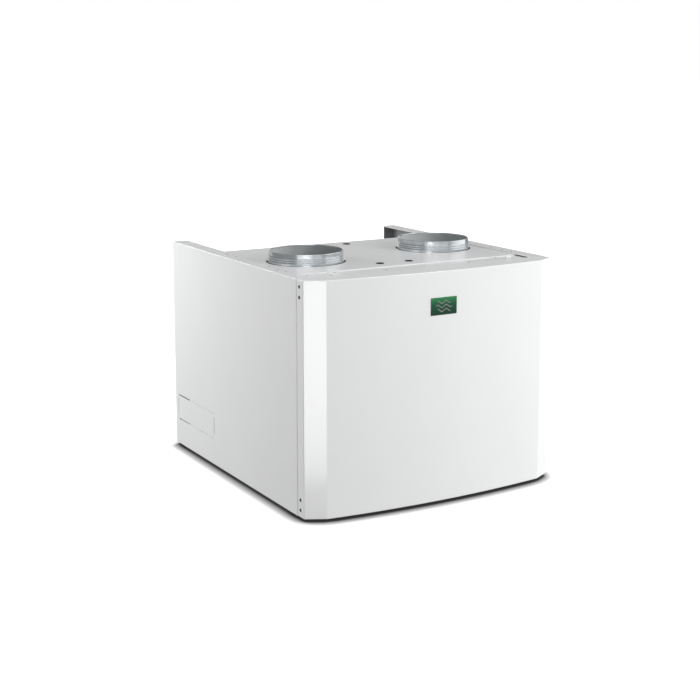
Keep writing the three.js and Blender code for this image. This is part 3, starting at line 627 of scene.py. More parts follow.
# The back coat's grey is dark enough to stand as painted shade on the inner sides of the sheets.
BACK_SHADE_GREY = (0.32, 0.325, 0.33)
BORE_GREY = (0.52, 0.54, 0.545)
RUBBER = (0.016, 0.016, 0.017)
FOAM = (0.05, 0.052, 0.056)
FLEECE = (0.80, 0.81, 0.78)
BOARD = (0.010, 0.110, 0.045)
GREEN_DARK = (0.004, 0.035, 0.018)
GREEN = (0.006, 0.090, 0.038)
GREEN_LIGHT = (0.035, 0.240, 0.085)

PAINT = powder_coat()
ZINC_SHEET = galvanised()
ZINC_SPUN = spun_zinc()
ZINC_BORE = zinc_bore()
BACK_COAT_AND_SHADE = back_coat_and_shade()
SCREW = metal("blackened_steel", (0.16, 0.165, 0.17), (0.07, 0.07, 0.075), 0.3, 0.45, 300)
SCREW_ZINC = metal("zinc_plated_screw", (0.62, 0.63, 0.64), (0.42, 0.43, 0.44), 0.25, 0.4, 300)
COPPER = metal("copper_tube", (0.80, 0.42, 0.27), (0.45, 0.22, 0.14), 0.2, 0.42)
BRASS = metal("brass", (0.78, 0.60, 0.30), (0.50, 0.36, 0.16), 0.2, 0.38)
ALUMINIUM = metal("aluminium", (0.78, 0.79, 0.80), (0.62, 0.63, 0.64), 0.28, 0.42)
BLACK_RUBBER = rubber()
DARK_FOAM = foam()
FILTER_FLEECE = fleece()
DARK_PLASTIC = moulded("dark_plastic", (0.022, 0.024, 0.027), 0.42)
GREY_PLASTIC = moulded("grey_plastic", (0.42, 0.43, 0.44), 0.45)
SOLDER_MASK = board_lacquer()
ENAMEL = badge_enamel()
EMBLEM = metal("emblem_metal", (0.80, 0.78, 0.74), (0.62, 0.60, 0.56), 0.22, 0.34, 400)

# ---- Side panels -------------------------------------------------------------------------------


def side_panel_outlines():
    """The wall with its four flanges; the upright flanges are notched clear of the level ones."""
    x, y0, y1, z0, z1 = HALF_W, PANEL_LOW.y, PANEL_HIGH.y, BOTTOM, TOP
    wall = [(x, y0, z0), (x, y1, z0), (x, y1, z1), (x, y0, z1)]
    top_in, low_in = x - FLANGE["top"], x - FLANGE["low"]
    top = [(x, y0, z1), (x, y1, z1), (top_in, y1, z1), (top_in, y0, z1)]
    low = [(x, y1, z0), (x, y0, z0), (low_in, y0, z0), (low_in, y1, z0)]
    outlines = [wall, top, low]
    zl, zh = z0 + UNDER_LAP, z1 - UNDER_LAP
    for y, reach in ((y1, FLANGE["rear"]), (y0, FLANGE["front"])):
        flange = [(x, y, z1), (x, y, z0), (x - NOTCH, y, zl)]
        flange += [(x - reach, y, zl), (x - reach, y, zh), (x - NOTCH, y, zh)]
        outlines.append(flange if y == y1 else flange[::-1])
    return outlines


def knockout_slits():
    """The slits round the knock-out: wide on its rear part, hair-thin further forward."""
    k = KNOCKOUT
    y_split = k["y1"] - k["dark"]
    slits = []
    for z in (k["z0"], k["z1"]):
        slits.append((y_split, k["y1"], z - k["wide"] / 2, z + k["wide"] / 2))
        slits.append((k["y0"], y_split - k["tab"], z - k["narrow"] / 2, z + k["narrow"] / 2))
    for y in (k["y0"], k["y1"]):
        slits.append((y - k["upright"] / 2, y + k["upright"] / 2, k["z0"] + k["tab"], k["z1"] - k["tab"]))
    return slits


def side_panels():
    for name, side in (("left", -1), ("right", 1)):
        node = f"{name}_side_panel"
        stud_holes = [(STUD_X, z) for z in STUD_HEIGHTS]
        # The panel's inner coat carries painted shade.
        panel = folded(f"{node}_shell", side_panel_outlines(), side=side, openings=knockout_slits(),
                       punched=stud_holes, punch_r=STUD_HOLE_R, coats=(PAINT, BACK_COAT_AND_SHADE))
        place(fine_edges(panel, 0.2), "casing", PAINT, node)
        # Dark foam strips behind the wide rear stretch of the slits: painted shade that makes those slits
        # read dark.
        inner = side * (HALF_W - SHEET)
        y0, y1 = KNOCKOUT["y1"] - KNOCKOUT["dark"] - SHADE_TAPE["beyond"], KNOCKOUT["y1"] + SHADE_TAPE["beyond"]
        half = SHADE_TAPE["half"]
        levels = (KNOCKOUT["z0"], KNOCKOUT["z1"])
        strips = [((inner - side, y0, z - half), (inner, y1, z + half)) for z in levels]
        strips = [(Vector(map(min, *pair)), Vector(map(max, *pair))) for pair in strips]
        place(fine_edges(blocks(f"{name}_knockout_tape", strips), 0.2), "casing", DARK_FOAM)


# ---- Front cover -------------------------------------------------------------------------------


def bow_points():
    """Points on the bowed face, from left to right."""
    xs = [-FACE_HALF + 2 * FACE_HALF * i / ARC_STEPS for i in range(ARC_STEPS + 1)]
    return [(x, COVER_LOW.y + BOW_RADIUS - math.sqrt(BOW_RADIUS**2 - x**2)) for x in xs]


def offset_path(points, distance):
    """Moves an open line of 2-D points sideways to its left, with mitred corners."""
    moved = []
    for i, point in enumerate(points):
        before = points[max(i - 1, 0)]
        after = points[min(i + 1, len(points) - 1)]
        normals = []
        for a, b in ((before, point), (point, after)):
            step = Vector((b[0] - a[0], b[1] - a[1]))
            if step.length > 1e-9:
                step.normalize()
                normals.append(Vector((-step.y, step.x)))
        mean = sum(normals, Vector((0, 0))).normalized()
        reach = distance / max(mean.dot(normals[0]), 0.2)
        moved.append((point[0] + mean.x * reach, point[1] + mean.y * reach))
    return moved


COVER_HALF = COVER_HIGH.x
FACE_Y = COVER_LOW.y + BOW
CORNER_Y = FACE_Y + CHAMFER_DEPTH
COVER_BACK = COVER_HIGH.y
SCREW_Y = CORNER_Y + 13.5
SCREW_PAIRS = {"upper": (464.0, 443.5), "lower": (41.7, 21.2)}
STUD_X = HALF_W - 14
STUD_HEIGHTS = [sum(pair) / 2 for pair in SCREW_PAIRS.values()]


def cover_plan():
    left = [(-COVER_HALF, COVER_BACK), (-COVER_HALF, CORNER_Y)]
    right = [(COVER_HALF, CORNER_Y), (COVER_HALF, COVER_BACK)]
    return [*left, *bow_points(), *right]


def front_cover():
    plan = cover_plan()
    z0, z1 = COVER_LOW.z, COVER_HIGH.z
    outlines = []
    for (xa, ya), (xb, yb) in zip(plan, plan[1:]):
        outlines.append([(xa, ya, z0), (xb, yb, z0), (xb, yb, z1), (xa, ya, z1)])
    outlines.append([(x, y, z1) for x, y in plan])
    lip = offset_path(plan, COVER_LIP)
    lip[0] = (lip[0][0], COVER_BACK)
    lip[-1] = (lip[-1][0], COVER_BACK)
    for (a, b), (c, d) in zip(zip(plan, plan[1:]), zip(lip, lip[1:])):
        outlines.append([(*b, z0), (*a, z0), (*c, z0), (*d, z0)])
    # The cover's inner coat carries painted shade.
    cover = folded("front_cover_shell", outlines, fold=1.8, coats=(PAINT, BACK_COAT_AND_SHADE))
    bake(cover)
    place(fine_edges(cover, 0.25), "front_cover", PAINT, "front_cover")


def badge():
    """An enamelled plate with a raised emblem: three air waves."""
    low, high = BADGE_LOW, BADGE_HIGH
    centre = (low + high) / 2
    face_y = low.y + 0.45
    bm = bmesh.new()
    block_mesh(bm, (low.x, face_y, low.z), high)
    uprights = [e for e in bm.edges if abs(e.verts[0].co.x - e.verts[1].co.x) < 1e-6
                and abs(e.verts[0].co.z - e.verts[1].co.z) < 1e-6]
    bmesh.ops.bevel(bm, geom=uprights, offset=1.4, segments=5, profile=0.5, affect="EDGES")
    plate = to_object("badge_enamel_plate", bm)
    place(fine_edges(plate, 0.35, 3), "front_cover", ENAMEL, "badge_plate")

    bm = bmesh.new()
    length, wave, rise, thick = 40.0, 20.0, 2.6, 2.6
    steps = 40
    for row in (-1, 0, 1):
        reach = length * (1.0 if row == 0 else 0.8)
        top, bottom = [], []
        for i in range(steps + 1):
            t = i / steps
            x = centre.x - reach / 2 + reach * t
            z = centre.z + row * 8.2 + rise * math.sin(2 * math.pi * (x - centre.x) / wave)
            half = thick / 2 * math.sqrt(max(1 - (2 * t - 1) ** 8, 0.02))
            top.append((x, z + half))
            bottom.append((x, z - half))
        prism_mesh(bm, [*bottom, *reversed(top)], "y", face_y + 0.1, low.y + 0.02)
    place(smooth(to_object("badge_emblem", bm)), "front_cover", EMBLEM)


def screw_mesh(bm, centre, axis, out, radius, height):
    """A pan head whose face looks along out (+1 or -1) on the axis."""
    profile = [(0, 0), (radius * 0.96, 0), (radius, height * 0.2), (radius * 0.93, height * 0.62),
               (radius * 0.7, height * 0.9), (radius * 0.4, height), (0, height)]
    turned_mesh(bm, [(r, out * along) for r, along in profile], centre, axis, 40)


def cross_mesh(bm, centre, axis, out, radius, height):
    """The cross recess of a screw head, as two bars."""
    index = "xyz".index(axis)
    for turn in (0, 1):
        low = [c - radius * 0.12 for c in centre]
        high = [c + radius * 0.12 for c in centre]
        across = [i for i in range(3) if i != index][turn]
        low[across] = centre[across] - radius * 0.55
        high[across] = centre[across] + radius * 0.55
        ends = sorted((centre[index] + out * height * 0.35, centre[index] + out * height * 1.5))
        low[index], high[index] = ends
        block_mesh(bm, low, high)


def screws(name, centres, axis, out, radius, height, body, material=None):
    heads, recesses = bmesh.new(), bmesh.new()
    for centre in centres:
        screw_mesh(heads, centre, axis, out, radius, height)
        cross_mesh(recesses, centre, axis, out, radius, height)
    piece = cut(to_object(name, heads), to_object("recess_cutter", recesses))
    place(smooth(piece), body, material or SCREW_ZINC)


def cover_brackets():
    inner = COVER_HALF - SHEET - 0.3
    for name, side in (("left", -1), ("right", 1)):
        for level, heights in SCREW_PAIRS.items():
            low, high = min(heights) - 7, max(heights) + 7
            mid = (low + high) / 2
            y0, y1 = SCREW_Y - 6, COVER_BACK - 1
            leg = [(inner, y0, low), (inner, y1, low), (inner, y1, high), (inner, y0, high)]
            foot_in = STUD_X - 8
            foot = [(inner, y1, high), (inner, y1, low), (foot_in, y1, low), (foot_in, y1, high)]
            bracket = folded(f"cover_bracket_{level}_{name}_angle", [leg, foot], 1.6, 1.2, side=side)
            bake(bracket)
            place(fine_edges(bracket, 0.25), "front_cover", ZINC_SHEET,
                  f"cover_bracket_{level}_{name}")
            stud = [(0, 0), (3.4, 0), (3.4, 2.2), (2.2, 3.2), (2.2, 5.0), (3.3, 6.2), (2.6, 8.0), (0, 8.6)]
            stud = [(r, along * 0.75) for r, along in stud]
            snap = turned(f"snap_stud_{level}_{name}", stud, (side * STUD_X, COVER_BACK - 1, mid), "y", 32)
            place(smooth(snap), "front_cover", DARK_PLASTIC)
            centres = [(side * COVER_HALF, SCREW_Y, z) for z in heights]
            screws(f"cover_screws_{level}_{name}", centres, "x", side, 3.4, 1.4, "front_cover", SCREW)


# ---- Top ---------------------------------------------------------------------------------------


def holes(name, items, z0, z1):
    return rods(name, [(radius, (x, y, z0), z1 - z0) for radius, x, y in items], "z", 96)


def centre_of(node):
    low, high = box_mm(node)
    return (low + high) / 2


SPIGOTS = {name: centre_of(f"{name}_spigot") for name in ("inlet", "outlet")}
GROMMETS = {name: centre_of(f"cable_grommet_{name}") for name in ("rear", "left", "middle")}


def top_plate():
    x, y0, y1, z1 = PLATE_HIGH.x, PLATE_LOW.y, PLATE_HIGH.y, PLATE_HIGH.z
    lip_x = RAIL_HIGH.x
    z0 = PLATE_LOW.z
    deck = [(-x, y0, z1), (-lip_x, y0, z1), (lip_x, y0, z1), (x, y0, z1), (x, y1, z1), (-x, y1, z1)]
    lip = [(lip_x, y0, z1), (-lip_x, y0, z1), (-lip_x, y0, z0), (lip_x, y0, z0)]
    plate = folded("top_plate_sheet", [deck, lip], fold=1.4)
    items = [(SPIGOT_HOLE_R, spot.x, spot.y) for spot in SPIGOTS.values()]
    items += [(GROMMET_HOLE_R, spot.x, spot.y) for spot in GROMMETS.values()]
    cut(plate, holes("hole_cutter", items, z1 - 6, z1 + 4))
    place(fine_edges(plate, 0.25), "casing", PAINT, "top_plate")


CLIPS = {"left": -209.0, "right": 222.0}
CLIP_Y = PANEL_LOW.y + 22
RAIL_BACK_Z = 461
RAIL_SLOT = (36, 62)


def front_top_rail():
    x, y0, y1, z1 = RAIL_HIGH.x, RAIL_LOW.y, RAIL_HIGH.y, RAIL_HIGH.z
    deck = [(-x, y0, z1), (x, y0, z1), (x, y1, z1), (-x, y1, z1)]
    front = [(x, y0, z1), (-x, y0, z1), (-x, y0, RAIL_LOW.z), (x, y0, RAIL_LOW.z)]
    back = [(-x, y1, z1), (x, y1, z1), (x, y1, RAIL_BACK_Z), (-x, y1, RAIL_BACK_Z)]
    rail = folded("front_top_rail_sheet", [deck, front, back], fold=1.4)
    slots = [((c - 26, CLIP_Y - 0.9, z1 - 4), (c - 8, CLIP_Y + 0.9, z1 + 2)) for c in CLIPS.values()]
    slots += [((c - 6.2, CLIP_Y - 1.6, z1 - 4), (c + 6.2, CLIP_Y + 1.8, z1 + 2)) for c in CLIPS.values()]
    slots.append(((RAIL_SLOT[0], PANEL_LOW.y + 33, z1 - 4), (RAIL_SLOT[1], PANEL_LOW.y + 37, z1 + 2)))
    cut(rail, blocks("slot_cutter", slots))
    place(fine_edges(rail, 0.25), "casing", PAINT, "front_top_rail")


def cover_clips():
    for name, x in CLIPS.items():
        top = TOP + 5.4
        foot = RAIL_HIGH.z - SHEET - 0.4
        y = CLIP_Y + 0.5
        line = [(y + 11.5, foot), (y, foot), (y, top - 3), (y - 1.6, top - 0.5)]
        outlines = []
        for (ya, za), (yb, zb) in zip(line, line[1:]):
            outlines.append([(x - 5.5, ya, za), (x + 5.5, ya, za), (x + 5.5, yb, zb), (x - 5.5, yb, zb)])
        clip = folded(f"cover_clip_{name}_spring", outlines, 0.9, 0.8, 3)
        bake(clip)
        place(fine_edges(clip, 0.15), "casing", PAINT, f"cover_clip_{name}")


def spigots():
    """Spun duct ends: a foot flange, rolled ribs that taper to the rim, and a dull bore."""
    r, top, base = SPIGOT_R, INLET_HIGH.z, INLET_LOW.z
    outer = [
        (r + 0.3, TOP - 4), (r + 0.3, TOP + 0.2), (r + 0.6, TOP + 1.6), (r + 0.5, TOP + 3.0),
        (r - 0.7, TOP + 4.0), (r - 0.7, TOP + 4.8), (r, TOP + 5.8), (r - 0.1, TOP + 7.4),
        (r - 1.3, TOP + 8.4), (r - 1.3, TOP + 9.2), (r - 0.7, TOP + 10.2), (r - 0.8, TOP + 11.8),
        (r - 1.9, TOP + 12.8), (r - 2.1, TOP + 15), (r - 2.2, TOP + 19), (r - 2.2, top - 0.9),
        (r - 2.5, top - 0.15), (r - 3.0, top), (r - 3.6, top - 0.3), (r - 4.0, top - 1.2),
    ]
    inner = [(r - 3.9, top - BRIGHT_RIM), (r - 3.8, top - 4.0), (r - 3.6, TOP + 8.0), (r - 3.3, base)]
    flange = [
        (r + 12.6, base), (r + 13.0, base + 0.4), (r + 13.0, base + SHEET - 0.4),
        (r + 12.6, base + SHEET), (r + 0.8, base + SHEET), (r + 0.3, base + SHEET + 0.6),
    ]
    profile = [*spline(outer, 5), *inner, *flange]
    for name, spot in SPIGOTS.items():
        piece = turned(f"{name}_spigot_spun", profile, (spot.x, spot.y, 0), "z", 160)
        for coat in (ZINC_SPUN, ZINC_BORE):
            piece.data.materials.append(coat)
        for face in piece.data.polygons:
            at = face.center / MM
            outward = Vector((at.x - spot.x, at.y - spot.y, 0)).normalized()
            face.material_index = int(face.normal.dot(outward) < -0.3 and at.z < top - BRIGHT_RIM)
        place(smooth(piece, 50), "casing", ZINC_SPUN, f"{name}_spigot")


def grommets():
    for name, spot in GROMMETS.items():
        low, high = box_mm(f"cable_grommet_{name}")
        wide = (high.x - low.x) / 2
        top, deck, under = high.z, PLATE_HIGH.z, PLATE_HIGH.z - SHEET
        neck = GROMMET_HOLE_R - 0.2
        profile = [
            (0, deck - 1.6), (3.6, deck - 1.6), (4.6, deck - 1.2), (5.4, top - 0.35), (6.2, top),
            (wide - 0.5, top - 0.1), (wide, top - 0.6), (wide - 0.2, deck + 0.1), (neck, deck + 0.1),
            (neck, under - 0.1), (wide, under - 0.2), (wide - 0.8, under - 1.6), (neck - 1.6, low.z),
            (0, low.z),
        ]
        piece = turned(f"cable_grommet_{name}_moulding", profile, (spot.x, spot.y, 0), "z", 48)
        place(smooth(piece, 40), "casing", BLACK_RUBBER, f"cable_grommet_{name}")


def rivets():
    """Small blind rivets along the side flanges (at these y) and on the rail (at these x and y)."""
    bm = bmesh.new()
    flange_x = HALF_W - 23
    on_flange = (86.7, 42.2, -110.3, -150.8, -184.3)
    on_rail = ((-248, -222.5), (-203, -224.3), (-186, -221.3), (-80, -245.8), (203, -224.3), (120, -245.8))
    radius, height = 1.9, 0.5
    dimple = [(0, height * 0.55), (radius * 0.35, height * 0.6), (radius * 0.42, height)]
    profile = [*dimple, (radius * 0.7, height * 0.85), (radius, height * 0.15), (radius, 0),
               (radius * 0.9, -0.4), (0, -0.4)]
    spots = [(side * flange_x, y, TOP) for side in (-1, 1) for y in on_flange]
    spots += [(x, y, RAIL_HIGH.z) for x, y in on_rail]
    for spot in spots:
        turned_mesh(bm, profile, spot, "z", 24)
    place(smooth(to_object("top_rivets", bm)), "casing", SCREW)


def feet():
    for end in ("front", "rear"):
        for side in ("left", "right"):
            node = f"foot_{end}_{side}"
            low, high = box_mm(node)
            spot = (low + high) / 2
            r = (high.x - low.x) / 2
            top = high.z
            profile = [(0, 0.5), (r * 0.55, 0.5), (r * 0.62, 0.02), (r * 0.84, 0.02), (r * 0.88, 0.4),
                       (r * 0.9, 1.0), (r - 0.3, top - 0.8), (r - 0.1, top - 0.2), (r - 0.5, top), (0, top)]
            piece = turned(f"{node}_pad", profile, (spot.x, spot.y, 0), "z", 48)
            place(smooth(piece, 40), "casing", BLACK_RUBBER, node)


# ---- Casing pieces behind the cover and at the back --------------------------------------------


def panel_sheet(node, *cutters):
    """A flat galvanised plate the size of its node, with openings."""
    piece = cut(blocks(f"{node}_sheet", [box_mm(node)]), *cutters)
    place(fine_edges(piece, 0.2), "casing", ZINC_SHEET, node)


# The coil's tubes: the x of each row, the lowest pass, the step between passes and the radius.
TUBE = {"rows": (-12, 21), "z0": 84, "pitch": 42, "count": 8, "r": 4.8}
TUBE_HEIGHTS = [TUBE["z0"] + i * TUBE["pitch"] for i in range(TUBE["count"])]
# The headers across the tubes, and the stubs that run from them to the back.
HEADER = {"y": 122, "r": 8, "stub_x": 4.5, "stub_r": 7.5, "end": 192}
DRAIN = {"x": 20, "z": 28, "r": 6.5}
CABLE_HOLE = (212, 236)
CABLE_R = 3.5
FRAME_LOW, FRAME_HIGH = box_mm("filter_frame")
GLAND = centre_of("supply_cable_gland")
MOTOR = centre_of("motor_rotor")


def inner_front_plate():
    y0, deep = INNER_LOW.y - 1, 4
    slot = ((FRAME_LOW.x - 4, y0, FRAME_LOW.z - 1), (FRAME_HIGH.x + 4, y0 + deep, FRAME_HIGH.z + 6))
    rounds = [(STUD_HOLE_R, (side * STUD_X, y0, z), deep) for side in (-1, 1) for z in STUD_HEIGHTS]
    rounds.append((11, (CABLE_HOLE[0], y0, CABLE_HOLE[1]), deep))
    panel_sheet("inner_front_plate", blocks("slot_cutter", [slot]), rods("round_cutter", rounds, "y", 40))
    spots = [(x, INNER_LOW.y, z) for z in (24, 462) for x in (-240, -160, 0, 80, 160, 240)]
    spots += [(side * 262, INNER_LOW.y, z) for side in (-1, 1) for z in (140, 240, 340)]
    screws("inner_plate_screws", spots, "y", -1, 4.2, 2.0, "casing")
    bush = [(9.4, -2.2), (12.4, -2.2), (13.0, -1.4), (12.4, -0.2), (10.8, -0.2), (10.8, 1.7), (12.4, 1.7),
            (12.8, 2.6), (12.2, 3.4), (9.4, 3.4)]
    ring = turned("cable_hole_bush", bush, (CABLE_HOLE[0], INNER_LOW.y, CABLE_HOLE[1]), "y", 48)
    place(shade(ring), "casing", BLACK_RUBBER)


def back_panel():
    y0, deep = BACK_LOW.y - 1, 4
    ports = (TUBE_HEIGHTS[0], TUBE_HEIGHTS[-1])
    rounds = [(HEADER["stub_r"] + 1, (HEADER["stub_x"], y0, z), deep) for z in ports]
    rounds += [(DRAIN["r"] + 0.6, (DRAIN["x"], y0, DRAIN["z"]), deep), (5.8, (GLAND.x, y0, GLAND.z), deep)]
    panel_sheet("back_panel", rods("round_cutter", rounds, "y", 40))
    face = BACK_HIGH.y
    across = [-270 + 60 * i for i in range(10)]
    upright = [70 + 65 * i for i in range(6)]
    spots = [(x, face, z) for x in across for z in (BACK_LOW.z + 14, BACK_HIGH.z - 12)]
    spots += [(side * 284, face, z) for side in (-1, 1) for z in upright]
    bm = bmesh.new()
    dome = [(0, 1.3), (1.2, 1.2), (2.4, 0.8), (3.1, 0.2), (3.2, 0), (3.0, -0.4), (0, -0.4)]
    for spot in spots:
        turned_mesh(bm, dome, spot, "y", 24)
    place(shade(to_object("back_panel_rivets", bm)), "casing", SCREW_ZINC)
    beads = bmesh.new()
    for z in (150, 235, 320):
        for x0, x1 in ((-250, -40), (50, 250)):
            section = [(r * math.cos(a), 0.42 * r * math.sin(a))
                       for r, a in ((5.0, math.pi * i / 10) for i in range(11))]
            sweep_mesh(beads, [(x0, face - 0.4, z), (x1, face - 0.4, z)], section, side=(0, 0, 1))
    place(shade(to_object("back_panel_beads", beads)), "casing", ZINC_SHEET)


def base_plate():
    low, high = box_mm("base_plate")
    x0, x1, y0, y1, z0, z1 = low.x, high.x, low.y, high.y, low.z, high.z
    deck = [(x0, y0, z0), (x0, y1, z0), (x1, y1, z0), (x1, y0, z0)]
    front = [(x0, y0, z0), (x1, y0, z0), (x1, y0, z1), (x0, y0, z1)]
    back = [(x1, y1, z0), (x0, y1, z0), (x0, y1, z1), (x1, y1, z1)]
    piece = bake(folded("base_plate_tray", [deck, front, back]))
    place(fine_edges(piece, 0.2), "casing", ZINC_SHEET, "base_plate")


def coil_partition():
    low, high = box_mm("coil_partition")
    coil_low, coil_high = box_mm("coil_frame")
    window = ((low.x - 1, coil_low.y + 8, coil_low.z + 8), (high.x + 1, coil_high.y - 8, coil_high.z - 8))
    panel_sheet("coil_partition", blocks("window_cutter", [window]))


def soft_block(name, low, high, cell=9.0, shape=None):
    """A foam mat: rounded edges and a slightly uneven skin; shape moves its points if given."""
    radius, rough = 2.6, 0.4
    low, high = Vector(low), Vector(high)
    ticks = []
    for axis in range(3):
        inner = [low[axis] + radius, high[axis] - radius]
        count = max(1, round((inner[1] - inner[0]) / cell))
        middle = [inner[0] + (inner[1] - inner[0]) * i / count for i in range(count + 1)]
        ticks.append([low[axis], low[axis] + radius * 0.4, *middle, high[axis] - radius * 0.4, high[axis]])
    bm = bmesh.new()
    verts = {}

    def vert(key):
        if key not in verts:
            point = Vector(ticks[axis][key[axis]] for axis in range(3))
            core = Vector(min(max(point[a], low[a] + radius), high[a] - radius) for a in range(3))
            out = (point - core).normalized()
            wobble = noise.noise(point * 0.045) * rough + noise.noise(point * 0.21) * rough * 0.4
            verts[key] = bm.verts.new(core + out * (radius - rough * 1.4 + wobble))
        return verts[key]

    for axis in range(3):
        a, b = [i for i in range(3) if i != axis]
        for end in (0, len(ticks[axis]) - 1):
            for i in range(len(ticks[a]) - 1):
                for j in range(len(ticks[b]) - 1):
                    corners = []
                    for di, dj in ((0, 0), (1, 0), (1, 1), (0, 1)):
                        key = [0, 0, 0]
                        key[axis], key[a], key[b] = end, i + di, j + dj
                        corners.append(vert(tuple(key)))
                    bm.faces.new(corners)
    bmesh.ops.recalc_face_normals(bm, faces=bm.faces)
    if shape:
        for v in bm.verts:
            v.co = shape(v.co)
    return to_object(name, bm)


def place_foam(piece, body, *nodes):
    place(piece, body, DARK_FOAM, *nodes)


def insulation():
    for side in ("left", "right"):
        node = f"{side}_insulation"
        mat = soft_block(f"{node}_mat", *box_mm(node))
        place_foam(smooth(mat, 60), "casing", node)
    low, high = box_mm("top_insulation")
    mat = soft_block("top_insulation_mat", low, high, 12.0)
    z0, tall = low.z - 3, high.z - low.z + 6
    items = [(99, (spot.x, spot.y, z0), tall) for spot in SPIGOTS.values()]
    items += [(12, (spot.x, spot.y, z0), tall) for spot in GROMMETS.values()]
    collar_low, collar_high = box_mm("outlet_collar")
    square = ((collar_low.x - 1, collar_low.y - 1, z0), (collar_high.x + 1, collar_high.y + 1, z0 + tall))
    cut(mat, rods("ring_cutter", items, "z", 64), blocks("collar_cutter", [square]))
    place_foam(smooth(mat, 60), "casing", "top_insulation")

    low, high = box_mm("cover_insulation")
    thick = 10.0

    def bow(point):
        sag = BOW_RADIUS - math.sqrt(BOW_RADIUS**2 - point.x**2)
        return Vector((point.x, point.y + sag, point.z))

    mat = soft_block("cover_insulation_mat", low, (high.x, low.y + thick, high.z), shape=bow)
    place_foam(smooth(mat, 60), "front_cover", "cover_insulation")
    for name, spot in SPIGOTS.items():
        low, high = box_mm(f"{name}_spigot_seal")
        z0, z1, r0, r1 = low.z, high.z, SPIGOT_R + 1.6, (high.x - low.x) / 2
        profile = [(r0, z0), (r1 - 0.8, z0), (r1, (z0 + z1) / 2), (r1 - 0.8, z1), (r0, z1)]
        ring = turned(f"{name}_spigot_seal_ring", profile, (spot.x, spot.y, 0), "z", 96)
        place_foam(shade(ring), "casing", f"{name}_spigot_seal")


# ---- Filter ------------------------------------------------------------------------------------


def filter_channels():
    for level in ("upper", "lower"):
        node = f"filter_channel_{level}"
        low, high = box_mm(node)
        web, lip = (low.z, high.z) if level == "lower" else (high.z, low.z)
        x0, x1, y0, y1 = low.x, high.x, low.y, high.y
        outlines = [
            [(x0, y0, web), (x0, y1, web), (x1, y1, web), (x1, y0, web)],
            [(x0, y0, lip), (x0, y1, lip), (x0, y1, web), (x0, y0, web)],
            [(x1, y0, web), (x1, y1, web), (x1, y1, lip), (x1, y0, lip)],
        ]
        if level == "upper":
            outlines = [outline[::-1] for outline in outlines]
        piece = bake(folded(f"{node}_rail", outlines, fold=1.8))
        place(fine_edges(piece, 0.2), "casing", ZINC_SHEET, node)


def filter_cassette():
    low, high, wall = FRAME_LOW, FRAME_HIGH, 3.0
    frame_piece = blocks("filter_frame_shell", [(low, high)])
    window = ((low.x - 1, low.y + 12, low.z + 12), (high.x + 1, high.y - 12, high.z - 12))
    groove = (low + Vector((wall,) * 3), high - Vector((wall,) * 3))
    cut(frame_piece, blocks("window_cutter", [window]), blocks("groove_cutter", [groove]))
    place(fine_edges(frame_piece, 0.5, 3), "filter_cassette", GREY_PLASTIC, "filter_frame")

    bars = []
    for x in (low.x + 0.6, high.x - 2.2):
        for i in range(1, 4):
            z = low.z + (high.z - low.z) * i / 4
            bars.append(((x, low.y + 11, z - 2), (x + 1.6, high.y - 11, z + 2)))
        for i in range(1, 5):
            y = low.y + (high.y - low.y) * i / 5
            bars.append(((x + 0.1, y - 2, low.z + 11), (x + 1.5, y + 2, high.z - 11)))
    place(fine_edges(blocks("filter_frame_bars", bars), 0.4), "filter_cassette", GREY_PLASTIC)

    clear, pleats, thick = wall + 0.8, 44, 1.0
    deep = (low.x + clear + thick, high.x - clear - thick)
    pitch = (high.y - low.y - 2 * clear - 2) / pleats
    line = []
    for i in range(pleats + 1):
        y = low.y + clear + 1 + i * pitch
        x, back = deep[i % 2], 1 if i % 2 else -1
        tips = ((-0.3, 0.9), (-0.17, 0.28), (0, 0), (0.17, 0.28), (0.3, 0.9))
        line += [(x - back * drop, y + pitch * step) for step, drop in tips
                 if low.y + clear < y + pitch * step < high.y - clear]
    bm = bmesh.new()
    z0, z1, rows = low.z + clear, high.z - clear, 10
    grid = []
    for j in range(rows + 1):
        z = z0 + (z1 - z0) * j / rows
        shift = [noise.noise(Vector((x, y, z)) * 0.06) * 0.35 for x, y in line]
        grid.append([bm.verts.new((x + s, y, z)) for (x, y), s in zip(line, shift)])
    for a, b in zip(grid, grid[1:]):
        for i in range(len(line) - 1):
            bm.faces.new((a[i], a[i + 1], b[i + 1], b[i]))
    media = to_object("filter_media_pleats", bm)
    solidify = media.modifiers.new("thickness", "SOLIDIFY")
    solidify.thickness = thick * MM
    solidify.offset = 0
    bake(media)
    place(smooth(media, 70), "filter_cassette", FILTER_FLEECE, "filter_media")


